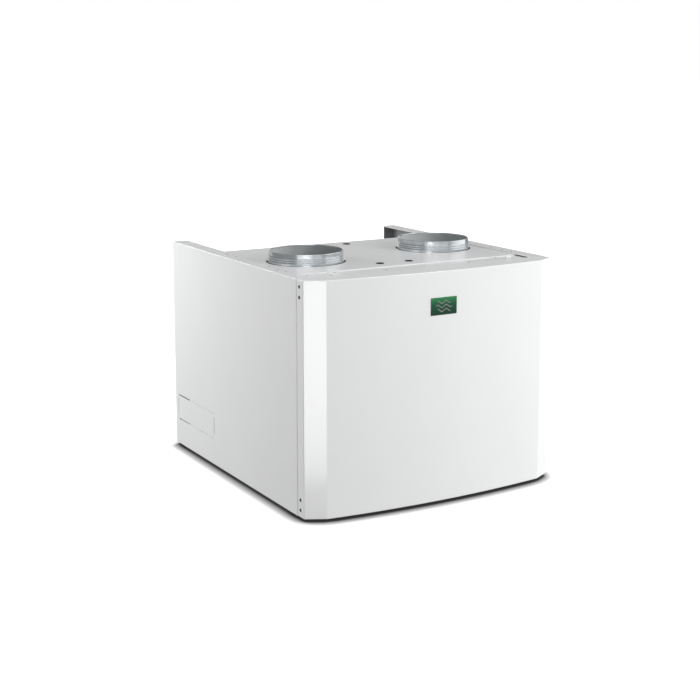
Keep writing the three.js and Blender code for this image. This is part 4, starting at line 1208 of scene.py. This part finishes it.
def filter_front():
    low, high = box_mm("filter_front_plate")
    plate_back = INNER_LOW.y - LAP
    inset = 3.0
    face = ((low.x, low.y, low.z), (high.x, plate_back, high.z))
    plug_low = (FRAME_LOW.x + 2, plate_back - 0.5, FRAME_LOW.z + 2)
    plug_high = (FRAME_HIGH.x - 2, FRAME_LOW.y - LAP, FRAME_HIGH.z - 2)
    plate = blocks("filter_front_plate_sheet", [face, (plug_low, plug_high)])
    place(fine_edges(plate, 0.5), "filter_cassette", ZINC_SHEET, "filter_front_plate")
    strips = bmesh.new()
    y0, y1 = plate_back - 0.2, INNER_LOW.y - 0.02
    z0, z1 = low.z + 1, high.z - 1
    for x0, x1 in ((low.x + 1, low.x + 1 + inset * 2), (high.x - 1 - inset * 2, high.x - 1)):
        block_mesh(strips, (x0, y0, z0), (x1, y1, z1))
    place_foam(fine_edges(to_object("filter_plate_gasket", strips), 0.05), "filter_cassette")
    middle = (low.x + high.x) / 2
    spots = [(middle, low.y, z) for z in (low.z + 34, low.z + 96, high.z - 96, high.z - 34)]
    screws("filter_plate_screws", spots, "y", -1, 3.8, 1.8, "filter_cassette")

    low, high = box_mm("filter_handle")
    middle = (low.x + high.x) / 2
    top_y, foot_y, bend = low.y + 3.5, high.y, 11
    path = [(middle, foot_y, low.z + 7)]
    for centre_z, start in ((low.z + 7 + bend, 180), (high.z - 7 - bend, 270)):
        for i in range(9):
            angle = math.radians(start + 90 * i / 8)
            y = top_y + bend + bend * math.sin(angle)
            path.append((middle, y, centre_z + bend * math.cos(angle)))
    path.append((middle, foot_y, high.z - 7))
    flat = [(u * 0.85, v * 0.31) for u, v in superellipse(12.4, 11.2, 28)]
    bm = bmesh.new()
    sweep_mesh(bm, path, flat, side=(1, 0, 0))
    for z in (low.z + 9, high.z - 9):
        block_mesh(bm, (low.x + 0.4, foot_y - 3.0, z - 8.6), (high.x - 0.4, foot_y, z + 8.6))
    place(fine_edges(to_object("filter_handle_grip", bm), 0.6, 3), "filter_cassette", DARK_PLASTIC,
          "filter_handle")


def superellipse(a, b, steps):
    """A rounded rectangle with half sides a and b."""
    power = 0.6
    points = []
    for i in range(steps):
        angle = 2 * math.pi * i / steps
        c, s = math.cos(angle), math.sin(angle)
        points.append((math.copysign(abs(c) ** power, c) * a, math.copysign(abs(s) ** power, s) * b))
    return points


# ---- Coil --------------------------------------------------------------------------------------

COIL_LOW, COIL_HIGH = box_mm("coil_frame")
COIL_WALL = 2.0


def coil_frame():
    low, high, wall = COIL_LOW, COIL_HIGH, COIL_WALL
    lip = 9.0
    ends = []
    for y0, y1, inward in ((low.y, low.y + wall, 1), (high.y - wall, high.y, -1)):
        ends.append(((low.x, y0, low.z), (high.x, y1, high.z)))
        lips = sorted((y0 + (inward > 0) * wall, y0 + (inward > 0) * wall + inward * lip))
        for x0 in (low.x, high.x - 1.0):
            ends.append(((x0, lips[0], low.z), (x0 + 1.0, lips[1], high.z)))
    decks = [((low.x, low.y, z), (high.x, high.y, z + wall)) for z in (low.z, high.z - wall)]
    for level, pairs in (("ends", ends), ("decks", decks)):
        piece = blocks(f"coil_frame_{level}", pairs)
        if level == "ends":
            spots = [(x, low.y - 1, z) for x in TUBE["rows"] for z in TUBE_HEIGHTS]
            bores = [(TUBE["r"] + 0.9, spot, high.y - low.y + 2) for spot in spots]
            cut(piece, rods("bore_cutter", bores, "y", 24))
        nodes = ("coil_frame",) if level == "ends" else ()
        place(fine_edges(piece, 0.2), "casing", ZINC_SHEET, *nodes)


def coil_fins():
    """Thin fins across the tubes, each with a ripple pressed into it."""
    low, high = box_mm("coil_fins")
    pitch, thick = 2.6, 0.28
    count = int((high.y - low.y) / pitch)
    bm = bmesh.new()
    ripple = [(low.x + (high.x - low.x) * i / 8, 0.35 if i % 2 else -0.35) for i in range(9)]
    for k in range(count + 1):
        y = low.y + 0.7 + k * (high.y - low.y - 1.4) / count
        front = [(x, y + step - thick / 2) for x, step in ripple]
        back = [(x, y + step + thick / 2) for x, step in reversed(ripple)]
        prism_mesh(bm, [*front, *back], "z", low.z, high.z)
    place(to_object("coil_fin_pack", bm), "casing", ALUMINIUM, "coil_fins")


def serpentine(x):
    """The centre line of one circuit: from the lower header through every pass to the upper header."""
    front, back, start = COIL_LOW.y - 4, COIL_HIGH.y + 4, HEADER["y"] - HEADER["r"] + 1
    bend, steps = TUBE["pitch"] / 2, 14
    line = [(x, start, TUBE_HEIGHTS[0])]
    for i, z in enumerate(TUBE_HEIGHTS[:-1]):
        y, out = (front, -1) if i % 2 == 0 else (back, 1)
        for k in range(steps + 1):
            angle = math.pi * k / steps
            line.append((x, y + out * bend * math.sin(angle), z + bend - bend * math.cos(angle)))
    line.append((x, start, TUBE_HEIGHTS[-1]))
    return line


def coil_tubes():
    for name, x in zip(("inlet", "outlet"), TUBE["rows"]):
        bm = bmesh.new()
        sweep_mesh(bm, serpentine(x), round_section(TUBE["r"]), side=(1, 0, 0))
        sleeve = [(TUBE["r"] - 0.5, 0), (5.6, 0), (5.9, 0.6), (5.9, 3.4), (5.5, 4.4), (TUBE["r"] - 0.5, 4.8)]
        for i, z in enumerate(TUBE_HEIGHTS):
            turned_mesh(bm, [(r, -along) for r, along in sleeve], (x, COIL_LOW.y - 1, z), "y", 24)
            if 0 < i < len(TUBE_HEIGHTS) - 1:
                turned_mesh(bm, sleeve, (x, COIL_HIGH.y + 1, z), "y", 24)
        node = f"coil_tubes_{name}_row"
        place(shade(to_object(f"{node}_copper", bm), 50), "casing", COPPER, node)


def headers():
    y, r, stub_x, stub_r, end = (HEADER[key] for key in ("y", "r", "stub_x", "stub_r", "end"))
    for name, z in (("supply", TUBE_HEIGHTS[0]), ("return", TUBE_HEIGHTS[-1])):
        node = f"coil_header_{name}"
        bm = bmesh.new()
        x0, x1 = TUBE["rows"][0] - 12, TUBE["rows"][1] + 12
        cap = [(0, 0), (r * 0.55, 0.5), (r * 0.9, 2.2), (r, 4.5)]
        profile = [*cap, *[(radius, x1 - x0 - along) for radius, along in reversed(cap)]]
        turned_mesh(bm, profile, (x0, y, z), "x", 40)
        bore = stub_r - 1.5
        stub = [(bore, 8), (stub_r + 1.6, 6), (stub_r + 0.6, 8.6), (stub_r, 10.5), (stub_r, end - y - 0.6),
                (stub_r - 0.5, end - y), (bore, end - y)]
        turned_mesh(bm, stub, (stub_x, y, z), "y", 48)
        for x in TUBE["rows"]:
            tube = TUBE["r"]
            fillet = [(tube - 0.6, -9.5), (tube + 0.2, -9.5), (tube + 1.6, -7.4), (tube - 0.6, -6)]
            turned_mesh(bm, fillet, (x, y, z), "y", 24)
        if name == "return":
            boss_y = centre_of("air_vent_screw").y
            boss = [(3.4, 14), (5, 13.6), (5, 7), (6.4, 5.4), (3.4, 5.4)]
            turned_mesh(bm, boss, (stub_x, boss_y, z), "z", 32)
        place(shade(to_object(f"{node}_copper", bm)), "casing", COPPER, node)
        nut = bmesh.new()
        hexagon = [(stub_r + 0.1, 0), (12.4, 0), (14, 1.4), (14, 14.6), (12.4, 16), (stub_r + 0.1, 16)]
        turned_mesh(nut, hexagon, (stub_x, end - 20, z), "y", 6)
        collar = [(stub_r + 0.1, -3.4), (10.6, -3.4), (11.2, -2.8), (11.2, 0.2), (stub_r + 0.1, 0.2)]
        turned_mesh(nut, collar, (stub_x, end - 20, z), "y", 40)
        place(fine_edges(to_object(f"union_nut_{name}", nut), 0.4, 3), "casing", BRASS)


def air_vent_screw():
    low, high = box_mm("air_vent_screw")
    centre = (low + high) / 2
    bm = bmesh.new()
    r, z0 = (high.x - low.x) / 2, low.z
    collar = [(r - 0.4, 4.8), (r, 5.2), (r, 6.1), (r - 0.4, 6.5)]
    shank = [(0, 0), (2.4, 0), (3, 0.6), (3, 4.7), *collar, (0, 6.5)]
    turned_mesh(bm, shank, (centre.x, centre.y, z0), "z", 40)
    block_mesh(bm, (centre.x - 2.5, centre.y - 2.5, z0 + 5.5), (centre.x + 2.5, centre.y + 2.5, high.z))
    place(fine_edges(to_object("air_vent_screw_key", bm), 0.35, 3), "vent_screw", BRASS, "air_vent_screw")


def drip_tray():
    low, high = box_mm("drip_tray")
    wall = 1.2
    tray = blocks("drip_tray_shell", [(low, high)])
    hollow = (low + Vector((wall,) * 3), (high.x - wall, high.y - wall, high.z + 1))
    cut(tray, blocks("hollow_cutter", [hollow]),
        rods("outlet_cutter", [(4.3, (DRAIN["x"], high.y - 3, DRAIN["z"]), 5)], "y", 24))
    place(fine_edges(tray, 0.4), "casing", GREY_PLASTIC, "drip_tray")
    y0, r = high.y + LAP, DRAIN["r"]
    end = box_mm("drain_stub")[1].y - y0
    barbs = []
    for start in (end - 23, end - 13):
        barbs += [(r - 1.8, start), (r - 0.6, start + 0.6), (r - 0.6, start + 2.4), (r - 1.8, start + 5)]
    profile = [(r - 3.4, 0), (r - 1.8, 0), *barbs, (r - 1.8, end - 0.8), (r - 2.2, end), (r - 3.4, end)]
    spout = turned("drain_stub_spout", profile, (DRAIN["x"], y0, DRAIN["z"]), "y", 48)
    place(shade(spout), "casing", DARK_PLASTIC, "drain_stub")


# ---- Fan ---------------------------------------------------------------------------------------

# The fan's axis, the spiral's radius at its start and end, and the throat, inlet and motor openings.
FAN = {"y": MOTOR.y, "z": MOTOR.z, "tight": 92, "wide": 140, "throat": 116, "eye": 66.5, "motor": 37}
HOUSING_LOW, HOUSING_HIGH = box_mm("blower_housing")


def scroll_outline(inset, top):
    """The fan housing's side outline: a spiral that runs into a straight throat."""
    start, end, steps = -20, 270, 96
    points = []
    for i in range(steps + 1):
        angle = math.radians(start + (end - start) * i / steps)
        r = FAN["tight"] + (FAN["wide"] - FAN["tight"]) * i / steps - inset
        points.append((FAN["y"] - r * math.sin(angle), FAN["z"] + r * math.cos(angle)))
    outer = FAN["y"] + FAN["wide"] - inset
    inner = FAN["y"] + FAN["wide"] - FAN["throat"] + inset
    return [*points, (outer, top), (inner, top)]


def blower_housing():
    x0, x1, top = HOUSING_LOW.x, HOUSING_HIGH.x, HOUSING_HIGH.z
    shell = prism("blower_housing_scroll", scroll_outline(0.8, top), "x", x0, x1)
    hollow = prism("hollow_cutter", scroll_outline(0.8 + SHEET, top + 5), "x", x0 + SHEET, x1 - SHEET)
    eyes = [(FAN["eye"], (x0 - 1, FAN["y"], FAN["z"]), 5), (FAN["motor"], (x1 - 3, FAN["y"], FAN["z"]), 5)]
    cut(shell, hollow, rods("eye_cutter", eyes, "x", 96))
    place(fine_edges(shell, 0.2), "casing", ZINC_SHEET, "blower_housing")
    seams = bmesh.new()
    line = scroll_outline(0.9, top - 1)[:-1]
    for x in (x0 + 1.0, x1 - 1.0):
        sweep_mesh(seams, [(x, y, z) for y, z in line], round_section(0.9, 10), side=(1, 0, 0))
    place(shade(to_object("blower_lock_seams", seams), 50), "casing", ZINC_SHEET)


def blower_parts():
    low, high = box_mm("blower_inlet_ring")
    outside = [(76, 0), (76, 1.5), (70.5, 2.0), (65.6, 4.2), (62.4, 7.6), (60.9, 11.4), (60.6, 20)]
    inside = [(59.2, 20), (59.4, 11.4), (61.0, 6.8), (64.2, 3.0), (67.6, 1.0), (70.4, 0.2)]
    profile = [*outside, *inside]
    ring = turned("blower_inlet_ring_bell", profile, (low.x, FAN["y"], FAN["z"]), "x", 96)
    place(shade(ring, 50), "casing", ZINC_SPUN, "blower_inlet_ring")

    low, high = box_mm("blower_bracket")
    x0, x1, y0, y1, z0, z1 = low.x, high.x, low.y, high.y, low.z, high.z
    upright = [(x1, y0, z0), (x1, y1, z0), (x1, y1, z1), (x1, y0, z1)]
    foot_outline = [(x0, y0, z0), (x0, y1, z0), (x1, y1, z0), (x1, y0, z0)]
    bracket = bake(folded("blower_bracket_angle", [upright, foot_outline], 2.0, 3.0))
    place(fine_edges(bracket, 0.25), "casing", ZINC_SHEET, "blower_bracket")
    spots = [(x0 + 14, y, z0 + 2) for y in (y0 + 16, (y0 + y1) / 2, y1 - 16)]
    screws("blower_bracket_screws", spots, "z", 1, 4.5, 2.6, "casing")

    low, high = box_mm("outlet_collar")
    x0, x1 = HOUSING_LOW.x, HOUSING_HIGH.x
    y1 = FAN["y"] + FAN["wide"]
    y0 = y1 - FAN["throat"]
    collar = blocks("outlet_collar_sleeve", [((x0, y0, low.z), (x1, y1, high.z - 0.5))])
    flange = blocks("outlet_collar_flange", [((low.x, low.y, high.z - SHEET), (high.x, high.y, high.z))])
    for piece in (collar, flange):
        bore = ((x0 + SHEET, y0 + SHEET, low.z - 1), (x1 - SHEET, y1 - SHEET, high.z + 1))
        cut(piece, blocks("bore_cutter", [bore]))
        nodes = ("outlet_collar",) if piece is collar else ()
        place(fine_edges(piece, 0.2), "casing", ZINC_SHEET, *nodes)


def impeller():
    low, high = box_mm("impeller")
    x0, x1, r, inner = low.x, high.x, (high.z - low.z) / 2, 66.0
    hub = (box_mm("motor_rotor")[1].z - box_mm("motor_rotor")[0].z) / 2 + 0.5
    bm = bmesh.new()
    centre = (0, FAN["y"], FAN["z"])
    disc = [(hub, x1 - 2), (inner - 4, x1 - 2), (inner - 2, x1 - 2.6), (r, x1 - 2.6), (r, x1), (hub, x1)]
    ring = [(inner, x0), (r - 0.6, x0), (r, x0 + 0.6), (r, x0 + 3), (inner, x0 + 3)]
    turned_mesh(bm, disc, centre, "x", 96)
    turned_mesh(bm, ring, centre, "x", 96)
    count, steps, thick = 42, 8, 0.55
    for k in range(count):
        turn = 2 * math.pi * k / count
        sides = ([], [])
        for i in range(steps + 1):
            t = i / steps
            radius = inner + 0.6 + (r - inner - 1.2) * t
            angle = turn + 0.02 * t + 0.17 * t * t
            for side, half in zip(sides, (thick, -thick)):
                a = angle + half / radius
                side.append((FAN["y"] + radius * math.cos(a), FAN["z"] + radius * math.sin(a)))
        prism_mesh(bm, [*sides[0], *reversed(sides[1])], "x", x0 + 0.6, x1 - 1)
    place(shade(to_object("impeller_wheel", bm), 30), "fan_wheel", DARK_PLASTIC, "impeller")


def motor():
    low, high = box_mm("motor_rotor")
    x0, r, deep = low.x, (high.z - low.z) / 2, high.x - low.x
    grooves = []
    for start in (12, 20, 28):
        grooves += [(r, start), (r - 0.8, start + 0.8), (r - 0.8, start + 2.6), (r, start + 3.4)]
    crown = [(0, 2), (13, 2), (14.5, 0.4), (r - 8, 0), (r - 3, 1.2), (r - 0.8, 4), (r, 8)]
    hollow = [(r, deep), (r - 5, deep), (r - 5, 7), (4.9, 7), (4.9, 34), (0, 34)]
    profile = [*crown, *grooves, *hollow]
    bell = turned("motor_rotor_bell", profile, (x0, FAN["y"], FAN["z"]), "x", 80)
    place(shade(bell), "fan_wheel", ALUMINIUM, "motor_rotor")

    x1 = HOUSING_HIGH.x
    body = [(5.3, x0 + 11), (34, x0 + 11), (35, x0 + 12), (35, x1 + LAP), (52.5, x1 + LAP), (54, x1 + 1.2),
            (54, x1 + 3.3), (26, x1 + 3.3), (24, x1 + 5), (0, x1 + 5), (0, x0 + 38), (5.3, x0 + 38)]
    stator = turned("motor_stator_flange", body[::-1], (0, FAN["y"], FAN["z"]), "x", 80)
    place(shade(stator), "casing", ALUMINIUM, "motor_stator")
    box_low = (x1 + 2, FAN["y"] - 16, FAN["z"] - 12)
    box_high = (x1 + 20, FAN["y"] + 16, FAN["z"] + 12)
    box = blocks("motor_terminal_box", [(box_low, box_high)])
    place(fine_edges(box, 1.6, 4), "casing", DARK_PLASTIC)
    spots = []
    for i in range(4):
        angle = math.radians(45 + 90 * i)
        spots.append((x1 + 3.3, FAN["y"] + 46 * math.cos(angle), FAN["z"] + 46 * math.sin(angle)))
    screws("motor_flange_screws", spots, "x", 1, 4.0, 2.4, "casing")


# ---- Electrics ---------------------------------------------------------------------------------

BOX_LOW, BOX_HIGH = box_mm("control_box")


def control_box():
    low, high, wall = BOX_LOW, BOX_HIGH, 2.2
    entry = centre_of("fan_cable_gland")
    box = blocks("control_box_shell", [(low, high)])
    hollow = ((low.x + wall, low.y - 1, low.z + wall), (high.x - wall, high.y - wall, high.z - wall))
    corners = [(x, low.y + 0.2, z) for x in (low.x + 6, high.x - 6) for z in (low.z + 6, high.z - 6)]
    posts = [(3.4, corner, high.y - low.y - 1) for corner in corners]
    entry_hole = (5.8, (entry.x, entry.y, low.z - 1), 5)
    cut(box, blocks("hollow_cutter", [hollow]), rods("entry_cutter", [entry_hole], "z", 32))
    place(fine_edges(box, 0.8, 3), "casing", GREY_PLASTIC, "control_box")
    place(shade(rods("control_box_posts", posts, "y", 24)), "casing", GREY_PLASTIC)

    low, high = box_mm("control_box_lid")
    middle_x, middle_z = (low.x + high.x) / 2, (low.z + high.z) / 2
    lid = blocks("control_box_lid_cover", [
        ((low.x, low.y + 0.8, low.z), (high.x, high.y, high.z)),
        ((low.x + 14, low.y, low.z + 14), (high.x - 14, low.y + 1.5, high.z - 14)),
    ])
    place(fine_edges(lid, 0.7, 3), "casing", GREY_PLASTIC, "control_box_lid")
    spots = [(middle_x + dx, low.y + 0.8, middle_z + dz) for dx in (-58, 58) for dz in (-58, 58)]
    screws("control_box_lid_screws", spots, "y", -1, 3.6, 1.6, "casing")


def circuit_board():
    low, high = box_mm("circuit_board")
    back = high.y
    face = back - 1.6
    board = blocks("circuit_board_laminate", [((low.x, face, low.z), (high.x, back, high.z))])
    place(fine_edges(board, 0.15), "casing", SOLDER_MASK, "circuit_board")
    dark = bmesh.new()
    # Two terminal rows, a relay, the processor and two small chips, each as x, height and z.
    for x0, x1, tall, z0, z1 in ((136, 178, 11, 322, 332), (192, 234, 11, 322, 332), (134, 162, 14, 398, 416),
                                 (138, 176, 4, 346, 372), (186, 196, 3, 350, 360), (206, 214, 3, 352, 358)):
        block_mesh(dark, (x0, face - tall, z0), (x1, face + 0.2, z1))
    place(fine_edges(to_object("board_components", dark), 0.5), "casing", DARK_PLASTIC)
    metal_parts = bmesh.new()
    for x, z, r, tall in ((178, 406, 5.5, 11), (192, 406, 5.5, 11), (212, 404, 7.5, 12), (228, 404, 6, 10)):
        groove = [(r, tall - 2), (r - 0.7, tall - 1.6), (r, tall - 1)]
        can = [(0, 0), (r - 0.6, 0), (r, 0.6), *groove, (r, tall - 0.2), (0, tall)]
        turned_mesh(metal_parts, [(radius, -along) for radius, along in can], (x, face, z), "y", 32)
    for x in range(140, 178, 6):
        rod_mesh(metal_parts, 1.5, (x, face - 11.4, 327), 1, "y", 16)
        rod_mesh(metal_parts, 1.5, (x + 56, face - 11.4, 327), 1, "y", 16)
    place(shade(to_object("board_capacitors", metal_parts)), "casing", ALUMINIUM)


def gland(node, axis, wall, out):
    """A hexagon against the wall, a dome nut and the threaded neck through the wall."""
    bm = bmesh.new()
    bore, reach = 4.1, 16
    spot = centre_of(node)
    spot["xyz".index(axis)] = wall
    hexagon = [(bore, LAP), (9.0, LAP), (9.5, 0.9), (9.5, 5.4), (9.0, 6), (bore, 6)]
    dome = [(bore, 5.6), (7.5, 5.6), (7.5, reach - 4.5), (6.9, reach - 2.2), (5.4, reach - 0.5),
            (bore + 0.4, reach), (bore, reach)]
    neck = [(bore, 0.6), (5.4, 0.6), (5.4, -6), (bore, -6)]
    for profile, steps in ((hexagon, 6), (dome, 32), (neck, 32)):
        turned_mesh(bm, [(r, out * along) for r, along in profile], spot, axis, steps)
    place(fine_edges(to_object(f"{node}_nut", bm), 0.3), "casing", DARK_PLASTIC, node)


def cables():
    entry = centre_of("fan_cable_gland")
    gland("fan_cable_gland", "z", BOX_LOW.z, -1)
    gland("supply_cable_gland", "y", BACK_HIGH.y, 1)
    y0 = INNER_LOW.y
    end_x = HOUSING_HIGH.x + 11
    end_y = FAN["y"] - 16 - LAP
    route = [
        (entry.x, entry.y, BOX_LOW.z - 6), (entry.x, entry.y, BOX_LOW.z - 30),
        (CABLE_HOLE[0], y0 - 7, CABLE_HOLE[1] + 6), (CABLE_HOLE[0], y0 + 7.5, CABLE_HOLE[1] - 3),
        (CABLE_HOLE[0] + 18, y0 + 26, CABLE_HOLE[1] - 2), (end_x, end_y - 50, FAN["z"] - 2),
        (end_x, end_y - 18, FAN["z"]), (end_x, end_y, FAN["z"]),
    ]
    bm = bmesh.new()
    line = spline(route, 10)
    sweep_mesh(bm, line, round_section(CABLE_R, 20))
    sheath = shade(to_object("fan_cable_sheath", bm), 50)
    place(sheath, "casing", DARK_PLASTIC, "fan_cable")


# ---- Studio ------------------------------------------------------------------------------------


def camera():
    """A long lens, level sideways, that looks down a little from the front left."""
    data = bpy.data.cameras.new("camera")
    data.lens = 69.83
    data.sensor_width = 36
    data.shift_y = -0.1
    data.clip_end = 60
    piece = bpy.data.objects.new("camera", data)
    piece.location = (-1.4883, -2.5288, 0.9041)
    piece.rotation_euler = (math.radians(90 - 9.528), 0, math.radians(-30.101))
    bpy.context.scene.collection.objects.link(piece)
    bpy.context.scene.camera = piece


def area_light(name, position, target, size, power, kind):
    """A softbox. LAMP_KINDS says which rays see it, and which pieces it is for."""
    rays, pieces = LAMP_KINDS[kind]
    data = bpy.data.lights.new(name, "AREA")
    data.shape = "RECTANGLE"
    data.size, data.size_y = size
    data.energy = power
    piece = bpy.data.objects.new(name, data)
    piece.location = position
    aim = Vector(target) - Vector(position)
    piece.rotation_euler = aim.to_track_quat("-Z", "Y").to_euler()
    piece.visible_camera = False
    piece.visible_diffuse = "diffuse" in rays
    piece.visible_glossy = "glossy" in rays
    bpy.context.scene.collection.objects.link(piece)
    light_only(piece, pieces or (*SHINY, "floor"), "INCLUDE" if pieces else "EXCLUDE")


def light_only(lamp, names, state):
    """Limits a lamp to the named pieces, or to all but them."""
    linked = bpy.data.collections.new(f"{lamp.name}_pieces")
    for name in names:
        linked.objects.link(bpy.data.objects[name])
    for entry in linked.collection_objects:
        entry.light_linking.link_state = state
    lamp.light_linking.receiver_collection = linked


SHINY = ("inlet_spigot_spun", "outlet_spigot_spun")
EDGED = ("left_side_panel_shell", "right_side_panel_shell", "front_cover_shell", "front_top_rail_sheet")
LAMP_KINDS = {
    "all": ("diffuse glossy", ()),
    "diffuse": ("diffuse", ()),
    "glossy": ("glossy", ()),
    "zinc": ("glossy", SHINY),
    "bores": ("diffuse", SHINY),
    "edges": ("glossy", EDGED),
    "cover": ("diffuse", ("front_cover_shell",)),
}
LIGHTS = {  # position, target, size, power and kind
    "front_right": ((1.5, -2.65, 1.25), (0, 0, 0.25), (1.4, 1.4), 46, "diffuse"),
    "left": ((-3.0, 0.0, 1.35), (0, 0, 0.25), (1.4, 1.4), 11, "all"),
    "overhead": ((0.0, -0.2, 3.45), (0, 0, 0.25), (1.4, 1.4), 20, "all"),
    "left_rear_near": ((-1.0, 0.9, 0.7), (-0.3, 0.25, 0.35), (0.5, 0.5), 8, "diffuse"),
    "front_pool": ((0.75, -1.9, 0.6), (0.12, -0.33, 0.3), (0.6, 0.6), 3, "diffuse"),
    "right": ((3.0, -0.45, 0.6), (0, 0, 0.25), (1.0, 1.0), 50, "cover"),
    "chamfer_gleam": ((-0.5, -0.75, 0.3), (-0.28, -0.3, 0.3), (0.3, 0.75), 4, "glossy"),
    "zinc_front_left": ((-1.6, -2.4, 1.1), (0, 0, 0.45), (2.4, 3.6), 30, "zinc"),
    "zinc_front": ((0.2, -2.9, 1.1), (0, 0, 0.45), (1.6, 3.6), 14, "zinc"),
    "zinc_right": ((2.5, -1.3, 1.1), (0, 0, 0.45), (3.8, 3.6), 50, "zinc"),
    "zinc_rear": ((1.6, 2.8, 1.2), (0, 0, 0.5), (3.0, 1.4), 10, "zinc"),
    "bore_fill": ((1.3, -1.2, 2.4), (0, 0, 0.45), (0.8, 0.8), 70.0, "bores"),
    "panel_edge": ((-0.75, 2.60, 1.75), (-0.3, 0, 0.475), (0.7, 0.7), 12.0, "edges"),
    "cover_edge": ((1.35, -0.75, 2.90), (0, -0.3, 0.475), (0.7, 0.7), 34.0, "edges"),
}
AMBIENT = 0.47
MIRRORED = 0.3
FLOOR_SUN = 5
FLOOR_RADIUS = 40000
CONTACT = 30  # how far from the object the floor starts to darken, in its painted contact shadow
CONTACT_SHADOW_TONES = ((0.45, 0.03), (0.8, 0.45), (1.0, 0.9))  # the painted contact shadow: the floor's tone for how open it lies


def world():
    """An even white studio: what the camera sees, what lights the surfaces and what they mirror."""
    scene_world = bpy.data.worlds.new("studio")
    scene_world.use_nodes = True
    tree = scene_world.node_tree
    tree.nodes.clear()
    path = tree.nodes.new("ShaderNodeLightPath")
    shader = None
    for strength, flag in ((AMBIENT, None), (MIRRORED, "Is Glossy Ray"), (1.0, "Is Camera Ray")):
        background = tree.nodes.new("ShaderNodeBackground")
        background.inputs["Strength"].default_value = strength
        background.inputs["Color"].default_value = (1, 1, 1, 1)
        if shader is None:
            shader = background.outputs["Background"]
            continue
        mix = tree.nodes.new("ShaderNodeMixShader")
        tree.links.new(path.outputs[flag], mix.inputs["Fac"])
        tree.links.new(shader, mix.inputs[1])
        tree.links.new(background.outputs["Background"], mix.inputs[2])
        shader = mix.outputs["Shader"]
    output = tree.nodes.new("ShaderNodeOutputWorld")
    tree.links.new(shader, output.inputs["Surface"])
    bpy.context.scene.world = scene_world


def floor():
    """A plain pale floor under a wide lamp of its own, so that only close contact darkens it; ambient
    occlusion also darkens its colour, a painted contact shadow.
    """
    bm = bmesh.new()
    bmesh.ops.create_circle(bm, cap_ends=True, segments=96, radius=FLOOR_RADIUS)
    bmesh.ops.translate(bm, verts=bm.verts, vec=(0, 0, -0.1))
    piece = to_object("floor", bm)
    n = Nodes("floor_paint", (0.9, 0.9, 0.9), 0.8)
    # The floor's colour follows ambient occlusion: painted contact shadow.
    contact = n.add("ShaderNodeAmbientOcclusion", Distance=CONTACT * MM, samples=16)
    n.vary_colour(contact.outputs["AO"], [(open_sky, (tone,) * 3) for open_sky, tone in CONTACT_SHADOW_TONES])
    piece.data.materials.append(n.material)
    piece.visible_diffuse = False
    piece.visible_glossy = False
    data = bpy.data.lights.new("floor_sun", "SUN")
    data.energy = FLOOR_SUN
    data.angle = math.radians(120)
    sun = bpy.data.objects.new("floor_sun", data)
    sun.visible_glossy = False
    bpy.context.scene.collection.objects.link(sun)
    light_only(sun, ["floor"], "INCLUDE")


def studio():
    camera()
    floor()
    world()
    for name, (position, target, size, power, seen_by) in LIGHTS.items():
        area_light(name, position, target, size, power, seen_by)
    bpy.context.scene.view_settings.view_transform = "Standard"


# ---- Build -------------------------------------------------------------------------------------

side_panels()
front_cover()
badge()
cover_brackets()
top_plate()
front_top_rail()
cover_clips()
spigots()
grommets()
rivets()
feet()
inner_front_plate()
back_panel()
base_plate()
coil_partition()
insulation()
filter_channels()
filter_cassette()
filter_front()
coil_frame()
coil_fins()
coil_tubes()
headers()
air_vent_screw()
drip_tray()
blower_housing()
blower_parts()
impeller()
motor()
control_box()
circuit_board()
cables()
studio()
